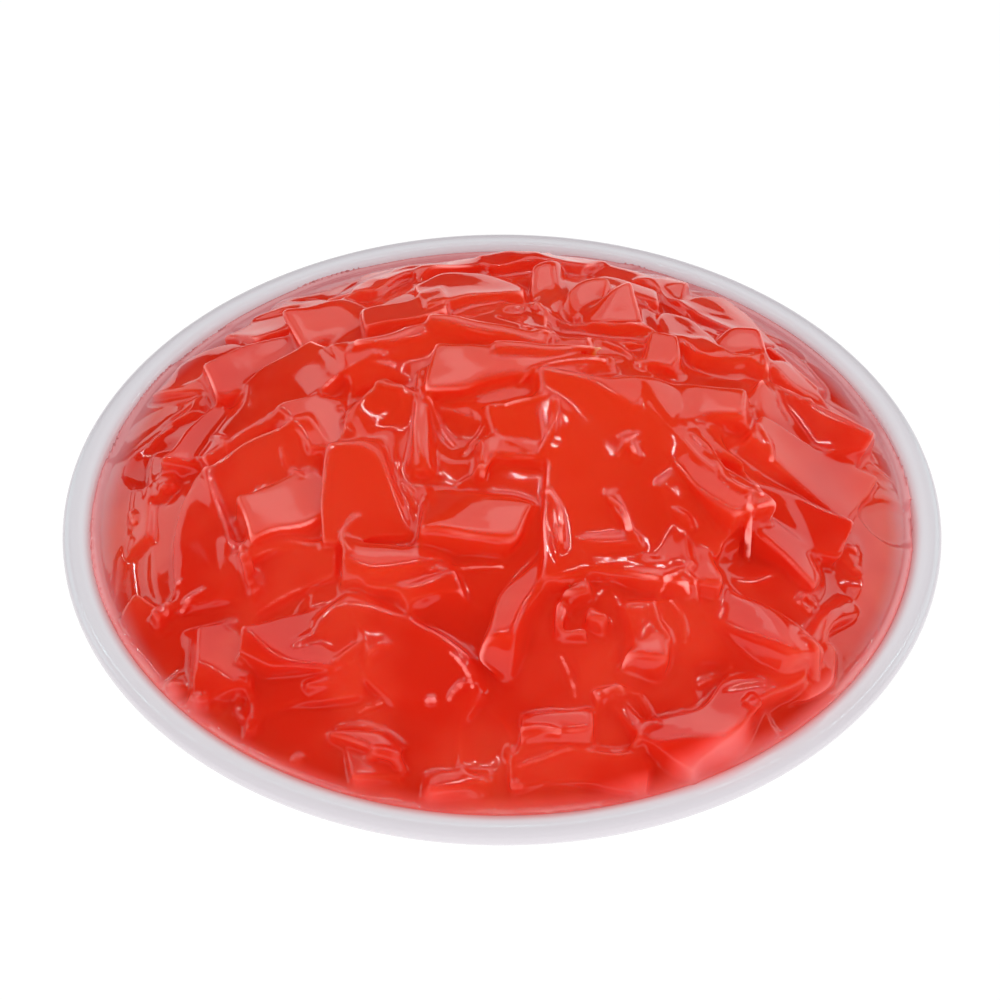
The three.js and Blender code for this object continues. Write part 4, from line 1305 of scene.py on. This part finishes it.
@dataclass
class JellyHeap:
    """Broken jelly heaped in the dish: a smooth union of slabs over a core, as one wet skin.

    Sizes in millimetres, tips in degrees, and the bearing that the scoops start at in radians.
    """

    dish: Dish
    mound: Mound
    # the grid that the field is worked out on
    voxel: float = 0.32
    low: tuple[float, float, float] = (-54.0, -54.0, 4.0)
    high: tuple[float, float, float] = (54.0, 54.0, 48.0)
    margin: float = 2.0
    # the small pieces between the named ones: where they lie, their half sizes, and the room they need
    fillers: int = 80
    filler_reach: float = 47.0
    filler_lift: float = -2.1
    filler_stray: float = 1.5
    filler_length: tuple[float, float] = (3.2, 5.8)
    filler_width: tuple[float, float] = (2.0, 3.6)
    filler_depth: tuple[float, float] = (2.0, 3.2)
    filler_tip: float = 5.0
    filler_taper: float = 0.4
    room_share: float = 0.62
    room_more: float = 1.4
    # the hollows torn in the bed of small pieces
    scoops: int = 66
    scoop_seed: int = 905
    scoop_reach: float = 49.0
    scoop_start: float = 1.0
    scoop_stray: float = 2.0
    scoop_radius: tuple[float, float] = (3.5, 9.0)
    scoop_depth: tuple[float, float] = (0.5, 1.7)
    scoop_tip: float = 14.0
    scoop_half: tuple[float, float] = (1.5, 7.0)
    # waves of (length, height) that bend the outlines of the pieces, bow their faces, and ruffle the core
    wave_seed: int = 77
    waves_across: tuple = ((21, 0.90), (13, 0.50), (8, 0.22), (5, 0.06))
    waves_up: tuple = ((23, 0.26), (15, 0.14), (9, 0.05), (5, 0.012))
    core_share: float = 0.5
    # how wide the blends are: fillets where pieces touch, crisp torn edges, and the ridges on the skin
    fillet: float = 1.0
    tear: float = 0.3
    wrinkle_fillet: float = 0.35
    wrinkle_step: float = 1.2
    wrinkle_sunk: float = 0.35
    # the edge: it slopes down to the dish, creeps up its wall, and sinks a hair into the glaze
    collar_slope: float = 6.0
    meniscus: float = 0.8
    creep: float = 0.1
    brim_blend: float = 0.25
    sink: float = 0.06
    lip_lean: float = 1.0
    beyond_r: float = 80.0
    # the skin: its triangles, and how its points settle onto the field
    skin_triangles: int = 190_000
    settle_rounds: int = 2
    settle_most: float = 0.2
    least_slope: float = 0.2

    def slabs(self) -> list[Slab]:
        """Break the named pieces and the small ones between them, drawn as the solids are.

        Returns:
            The named slabs in their order, then the small ones.
        """
        made = []
        for i, piece in enumerate(PIECES):
            way = np.array(piece.top.value)
            look = self.mound.upward(piece.x, piece.y) if piece.top is FLUSH else way / np.linalg.norm(way)
            turn = lay_flat(look) @ turn_of(piece.yaw, piece.rise, 0)
            top = np.array([piece.x, piece.y, self.mound.top(piece.x, piece.y) + piece.proud])
            middle = top - turn[:, 2] * piece.depth
            half = [piece.length, piece.width, piece.depth]
            made.append(Slab.broken(middle, half, turn, piece.taper, Draw(i + 1)))
        return made + self.small_slabs()

    def small_slabs(self) -> list[Slab]:
        """Break the small pieces, spread out evenly, where the named ones leave room.

        Returns:
            The small slabs.
        """
        made = []
        draw = Draw(self.fillers)
        taken = [(piece.x, piece.y, max(piece.length, piece.width)) for piece in PIECES]
        for i in range(self.fillers):
            x, y = spread_out(i, self.fillers, self.filler_reach)
            x += draw.about(self.filler_stray)
            y += draw.about(self.filler_stray)
            half = [draw(*self.filler_length), draw(*self.filler_width), draw(*self.filler_depth)]
            own = turn_of(draw(0, HALF_TURN), draw.about(self.filler_tip), draw.about(self.filler_tip))
            taper = draw(0, self.filler_taper)
            if any(math.hypot(x - px, y - py) < self.room_share * reach + self.room_more
                   for px, py, reach in taken):
                continue
            taken.append((x, y, half[0]))
            middle = np.array([x, y, self.mound.top(x, y) + self.filler_lift])
            turn = lay_flat(self.mound.upward(x, y)) @ own
            made.append(Slab.broken(middle, half, turn, taper, Draw(len(PIECES) + 1 + i)))
        return made

    def torn(self) -> list[Scoop]:
        """Tear hollows in the bed of small pieces, spread out evenly.

        Returns:
            The scoops.
        """
        draw = Draw(self.scoop_seed)
        made = []
        for i in range(self.scoops):
            x, y = spread_out(i, self.scoops, self.scoop_reach, self.scoop_start)
            x += draw.about(self.scoop_stray)
            y += draw.about(self.scoop_stray)
            size = draw(*self.scoop_radius)
            depth = draw(*self.scoop_depth)
            own = turn_of(draw(0, HALF_TURN), draw.about(self.scoop_tip), 0)
            turn = lay_flat(self.mound.upward(x, y)) @ own
            middle = np.array([x, y, self.mound.top(x, y)]) + turn @ np.array([0, 0, size - depth])
            made.append(Scoop(middle, turn @ np.array([draw(*self.scoop_half), 0, 0]), size))
        return made

    def axes(self) -> list[np.ndarray]:
        """Return the grid's places along x, y and z."""
        return [np.arange(a, b, self.voxel, dtype=np.float32) for a, b in zip(self.low, self.high)]

    def warp(self) -> list[np.ndarray]:
        """Work out how far each grid place is pushed along x, y and z: sums of h sin(k . place + phase).

        The waves across bend the outlines of the pieces as jelly tears, and the waves up bow their faces.

        Returns:
            The pushes along the three axes.
        """
        x, y, z = np.meshgrid(*self.axes(), indexing="ij", sparse=True)
        draw = Draw(self.wave_seed)
        pushes = []
        for waves in (self.waves_across, self.waves_across, self.waves_up):
            push = 0
            for length, height in waves:
                k = np.array([draw.about(1), draw.about(1), draw.about(1)])
                k *= 2 * math.pi / length / np.linalg.norm(k)
                phase = draw(0, 2 * math.pi)
                swing = (k[0] * x + k[1] * y + k[2] * z + phase).astype(np.float32)
                push = push + np.float32(height) * np.sin(swing)
            pushes.append(push)
        return pushes

    def dish_limit(self) -> np.ndarray:
        """Work out the distance to the inside of the dish: to its profile in (r, z), carried round by r.

        Returns:
            The distances over the grid, negative inside the dish.
        """
        x, y, z = self.axes()
        above_lip = [[self.dish.rim_r - self.lip_lean, self.high[2]]]
        line = np.concatenate([self.dish.inside(), self.dish.over_lip(), above_lip])
        r = np.arange(0, self.beyond_r, self.voxel, dtype=np.float32)
        grid_r, grid_z = np.meshgrid(r, z, indexing="ij")
        best = np.full(grid_r.shape, FAR_MM)
        for a, b in zip(line[:-1], line[1:]):
            along = b - a
            t = ((grid_r - a[0]) * along[0] + (grid_z - a[1]) * along[1]) / (along @ along)
            t = np.clip(t, 0, 1)
            best = np.minimum(best, np.hypot(grid_r - a[0] - t * along[0], grid_z - a[1] - t * along[1]))
        floor = np.interp(r, line[:, 0], line[:, 1])
        signed = np.where(grid_z > floor[:, None], -best, best) - self.sink
        radius = np.hypot(x[:, None], y[None, :]) / self.voxel
        lower = np.floor(radius).astype(int)
        part = (radius - lower)[..., None]
        return (signed[lower] * (1 - part) + signed[lower + 1] * part).astype(np.float32)

    def field(self) -> np.ndarray:
        """Work out the jelly's distance field.

        The small pieces are joined to the core and torn by scoops. The named pieces lie on them and the
        ridges on those, and the dish cuts the whole off. Shapes are joined by a smooth smallest, which
        leaves a fillet of wet jelly where they touch.

        Returns:
            The field over the grid, negative inside.
        """
        x, y, z = self.axes()
        top = self.mound.core(x[:, None], y[None, :]).astype(np.float32)
        slope_x, slope_y = np.gradient(top, self.voxel)
        steep = np.sqrt(1 + slope_x**2 + slope_y**2)[..., None]
        over = z[None, None, :] - top[..., None]
        push = self.warp()
        solid = over / steep + self.core_share * push[2]
        slabs = self.slabs()
        for slab in slabs[len(PIECES):]:
            self.join(solid, slab, push, self.fillet)
        for scoop in self.torn():
            self.cut(solid, scoop, push)
        inward = self.mound.inward(x[:, None], y[None, :]).astype(np.float32)[..., None]
        solid = smooth_least(solid, (over + self.collar_slope * inward) / steep, self.fillet)
        for slab in slabs[: len(PIECES)]:
            self.join(solid, slab, push, self.fillet)
        for wrinkle in self.wrinkles(solid):
            self.join(solid, wrinkle, None, self.wrinkle_fillet)
        limit = self.dish_limit()
        solid = smooth_least(solid, self.creep - limit, self.meniscus)
        return -smooth_least(-solid, -limit, self.brim_blend)

    def wrinkles(self, solid: np.ndarray) -> list[Wrinkle]:
        """Lay the ridges and drops on the skin, the highest place where a column's field changes sign.

        Args:
            solid: the field that they lie on.

        Returns:
            The wrinkles.
        """
        x, y, z = self.axes()
        inside = solid < 0
        top = inside.shape[2] - 1 - np.argmax(inside[..., ::-1], axis=2)
        low = np.take_along_axis(solid, top[..., None], 2)[..., 0]
        high = np.take_along_axis(solid, top[..., None] + 1, 2)[..., 0]
        height = z[0] + self.voxel * (top + low / (low - high))

        def skin(px: np.ndarray, py: np.ndarray) -> np.ndarray:
            """Return the skin's height at the nearest columns."""
            across = np.rint((px - x[0]) / self.voxel).astype(int)
            back = np.rint((py - y[0]) / self.voxel).astype(int)
            return height[across, back]

        return [Wrinkle.along(ridge, skin, self.wrinkle_step, self.wrinkle_sunk) for ridge in RIDGES]

    def window(self, shape: Slab | Scoop | Wrinkle, push: list | None) -> tuple[tuple, list]:
        """Find the part of the grid that a shape reaches.

        Args:
            shape: the shape, with its middle and reach.
            push: how far each grid place is pushed along the axes, or None for no push.

        Returns:
            The part, as slices, and its pushed places, seen from the shape's middle.
        """
        span, local = [], []
        for axis, places in enumerate(self.axes()):
            start = int(np.searchsorted(places, shape.middle[axis] - shape.reach - self.margin))
            stop = int(np.searchsorted(places, shape.middle[axis] + shape.reach + self.margin))
            span.append(slice(start, stop))
            form = [1, 1, 1]
            form[axis] = -1
            local.append((places[start:stop] - np.float32(shape.middle[axis])).reshape(form))
        span = tuple(span)
        if push is None:
            return span, local
        return span, [place + way[span] for place, way in zip(local, push)]

    def join(self, solid: np.ndarray, shape: Slab | Wrinkle, push: list | None, fillet: float) -> None:
        """Join a shape to the field, with a fillet.

        Args:
            solid: the field, which is changed.
            shape: what is joined.
            push: how far each grid place is pushed along the axes, or None.
            fillet: how wide the blend is.
        """
        span, places = self.window(shape, push)
        solid[span] = smooth_least(solid[span], shape.distance(*places), fillet)

    def cut(self, solid: np.ndarray, scoop: Scoop, push: list) -> None:
        """Cut a scoop out of the field, with a crisp edge.

        Args:
            solid: the field, which is changed.
            scoop: what is cut out.
            push: how far each grid place is pushed along the axes.
        """
        span, places = self.window(scoop, push)
        solid[span] = -smooth_least(-solid[span], scoop.distance(*places), self.tear)

    def build(self) -> bpy.types.Object:
        """Lay one wet skin over the slabs and the core.

        Returns:
            The heap.
        """
        field = Field(self.field(), np.array([places[0] for places in self.axes()]), self.voxel)
        points, quads = field.skin()
        made = new_object("jelly_pieces", mesh_from("jelly_pieces", points * MM, quads))
        self.thin(made)
        self.settle(made.data, field)
        made.data.materials.append(JellyFinish().make())
        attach(made, "root")
        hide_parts("jelly_heap")
        return made

    def thin(self, made: bpy.types.Object) -> None:
        """Merge triangles where the skin is flat, down to skin_triangles in all.

        Args:
            made: the heap, whose mesh is replaced.
        """
        triangles = 2 * len(made.data.polygons)
        LOG.info("jelly skin: %d triangles before thinning", triangles)
        if triangles <= self.skin_triangles:
            return
        work = made.modifiers.new("thin", "DECIMATE")
        work.ratio = self.skin_triangles / triangles
        seen = made.evaluated_get(bpy.context.evaluated_depsgraph_get())
        result = bpy.data.meshes.new_from_object(seen)
        made.modifiers.clear()
        made.data = result
        made.data.shade_smooth()

    def settle(self, mesh: bpy.types.Mesh, field: Field) -> None:
        """Pull the points onto the field's surface, and shade them by its slope.

        Each round moves a point against the slope by value / slope^2. The field's bend at each point is
        kept in the attribute "bend", which the finish reads to paint pale highlight lines along sharp
        edges.

        Args:
            mesh: the skin.
            field: the field that it was laid on.
        """
        points = np.empty(len(mesh.vertices) * 3)
        mesh.vertices.foreach_get("co", points)
        points = points.reshape(-1, 3) / MM
        for _ in range(self.settle_rounds):
            slope = field.slope(points)
            move = field.value(points) / np.maximum((slope**2).sum(1), self.least_slope)
            points -= np.clip(move, -self.settle_most, self.settle_most)[:, None] * slope
        slope = field.slope(points)
        mesh.vertices.foreach_set("co", (points * MM).ravel())
        mesh.update()
        slope /= np.maximum(np.linalg.norm(slope, axis=1), SMALLEST)[:, None]
        mesh.normals_split_custom_set_from_vertices(slope)
        bend = mesh.attributes.new("bend", "FLOAT", "POINT")
        bend.data.foreach_set("value", field.bend(points).astype(np.float32))


# ---------------------------------------------------------------- studio


class Side(Enum):
    """Where a soft box hangs, seen from the camera."""

    ABOVE_LEFT = "above_left"
    ABOVE_RIGHT = "above_right"
    BEHIND = "behind"
    HEART_BEHIND = "heart_behind"
    LOW_BEHIND = "low_behind"
    LEFT = "left"
    RIGHT = "right"
    STRIP_BEHIND = "strip_behind"
    STRIP_LEFT = "strip_left"
    STRIP_RIGHT = "strip_right"
    FRONT = "front"


class Kind(Enum):
    """What a soft box does to the eye.

    A fill lights the jelly and the dish without showing in their gloss. A card shows in the gloss alone.
    Its colour has less red in it, so that its mirror image on red jelly comes out pink and not orange.
    """

    FILL = "ffffff"
    CARD = "d2ffff"


FILL, CARD = Kind


@dataclass(frozen=True)
class SoftBox:
    """A rectangle of light aimed at the heap, as a studio hangs it.

    Turn is its bearing in degrees from straight behind, to the right; height is its angle over the floor.
    Away, width and tall are in metres, and brightness is its face's against white.
    """

    side: Side
    kind: Kind
    turn: float
    height: float
    away: float
    width: float
    tall: float
    brightness: float

    def hang(self, target: Vector) -> bpy.types.Object:
        """Hang the lamp and aim it: its power is pi times its area times its face's brightness.

        Args:
            target: the place that it looks at.

        Returns:
            The lamp.
        """
        turn, height = math.radians(self.turn), math.radians(self.height)
        lamp = bpy.data.lights.new(f"softbox_{self.side.value}", "AREA")
        lamp.shape = "RECTANGLE"
        lamp.size, lamp.size_y = self.width, self.tall
        lamp.energy = math.pi * self.width * self.tall * self.brightness
        lamp.color = linear(self.kind.value)[:3]
        made = new_object(lamp.name, lamp)
        made.visible_diffuse = self.kind is FILL
        made.visible_glossy = self.kind is CARD
        flat = self.away * math.cos(height)
        way = Vector((flat * math.sin(turn), flat * math.cos(turn), self.away * math.sin(height)))
        made.location = target + way
        made.rotation_euler = (-way).to_track_quat("-Z", "Y").to_euler()
        return made


@dataclass
class Studio:
    """A plain pale floor, a dim even room that the gloss doesn't mirror, and soft boxes all round.

    The fills make the even red of the faces. The card behind is mirrored by every face that lies level, as
    a flat pink patch, and the brighter one in its middle by the crown. The cards to the sides are mirrored
    by the slopes, and the strips by sharp edges, as fine white glints.
    """

    floor_half: float = 3.0
    room: str = WHITE
    room_strength: float = 0.44
    aim_z: float = 0.03
    boxes: tuple[SoftBox, ...] = (
        SoftBox(Side.ABOVE_LEFT, FILL, -90, 60, 0.70, 0.36, 0.34, 1.2),
        SoftBox(Side.ABOVE_RIGHT, FILL, 90, 60, 0.70, 0.36, 0.34, 1.7),
        SoftBox(Side.BEHIND, CARD, 0, 43, 0.80, 0.80, 0.36, 1.3),
        SoftBox(Side.HEART_BEHIND, CARD, 4, 43, 0.78, 0.26, 0.10, 1.2),
        SoftBox(Side.LOW_BEHIND, CARD, 0, 10, 0.80, 0.80, 0.24, 0.07),
        SoftBox(Side.LEFT, CARD, -58, 19, 0.65, 0.55, 0.34, 1.6),
        SoftBox(Side.RIGHT, CARD, 56, 19, 0.65, 0.55, 0.34, 1.6),
        SoftBox(Side.STRIP_BEHIND, CARD, 0, 64, 0.75, 0.50, 0.010, 34.0),
        SoftBox(Side.STRIP_LEFT, CARD, -50, 48, 0.70, 0.012, 0.24, 30.0),
        SoftBox(Side.STRIP_RIGHT, CARD, 52, 48, 0.70, 0.012, 0.24, 30.0),
        SoftBox(Side.FRONT, FILL, 180, 42, 0.90, 0.90, 0.60, 1.3),
    )

    def build(self) -> None:
        """Lay the floor, fill the room with light and hang the boxes."""
        half = self.floor_half
        corners = np.array([(-half, -half, 0), (half, -half, 0), (half, half, 0), (-half, half, 0)], float)
        floor = new_object("studio_floor", mesh_from("studio_floor", corners, np.array([[0, 1, 2, 3]])))
        floor.data.materials.append(SheetFinish().make())
        world = bpy.data.worlds.new("studio_room")
        bpy.context.scene.world = world
        world.use_nodes = True
        back = world.node_tree.nodes["Background"]
        back.inputs["Color"].default_value = linear(self.room)
        back.inputs["Strength"].default_value = self.room_strength
        world.cycles_visibility.glossy = False
        for box in self.boxes:
            box.hang(Vector((0, 0, self.aim_z)))
        bpy.context.scene.view_settings.view_transform = "Standard"


@dataclass(frozen=True)
class Viewpoint:
    """The camera: on the part's front side, looking down at the heap. In metres, degrees and lens mm."""

    elevation: float = 43.112
    distance: float = 0.450
    centre_z: float = 0.024
    aim_x: float = -0.000249
    aim_up: float = 0.001006
    nearest: float = 0.01
    lens: float = 129.166
    sensor: float = 36.0

    def set_up(self) -> bpy.types.Object:
        """Place the camera and make it the scene's.

        Returns:
            The camera.
        """
        tilt = math.radians(self.elevation)
        eye = Vector((0, -math.cos(tilt) * self.distance, math.sin(tilt) * self.distance + self.centre_z))
        target = Vector((self.aim_x, 0, self.centre_z + self.aim_up))
        data = bpy.data.cameras.new("view_from_front")
        data.lens = self.lens
        data.sensor_width = self.sensor
        data.clip_start = self.nearest
        camera = new_object("view_from_front", data)
        camera.location = eye
        camera.rotation_euler = (target - eye).to_track_quat("-Z", "Y").to_euler()
        bpy.context.scene.camera = camera
        return camera


def main() -> None:
    """Build the camera, the studio, the dish and the heap, and report each piece."""
    logging.basicConfig(level=logging.INFO, format="%(name)s: %(message)s")
    Viewpoint().set_up()
    Studio().build()
    dish = Dish()
    for piece in (dish.build(), JellyHeap(dish, Mound()).build()):
        LOG.info("%s: %d points, %d faces", piece.name, len(piece.data.vertices), len(piece.data.polygons))


if __name__ == "__main__":
    main()
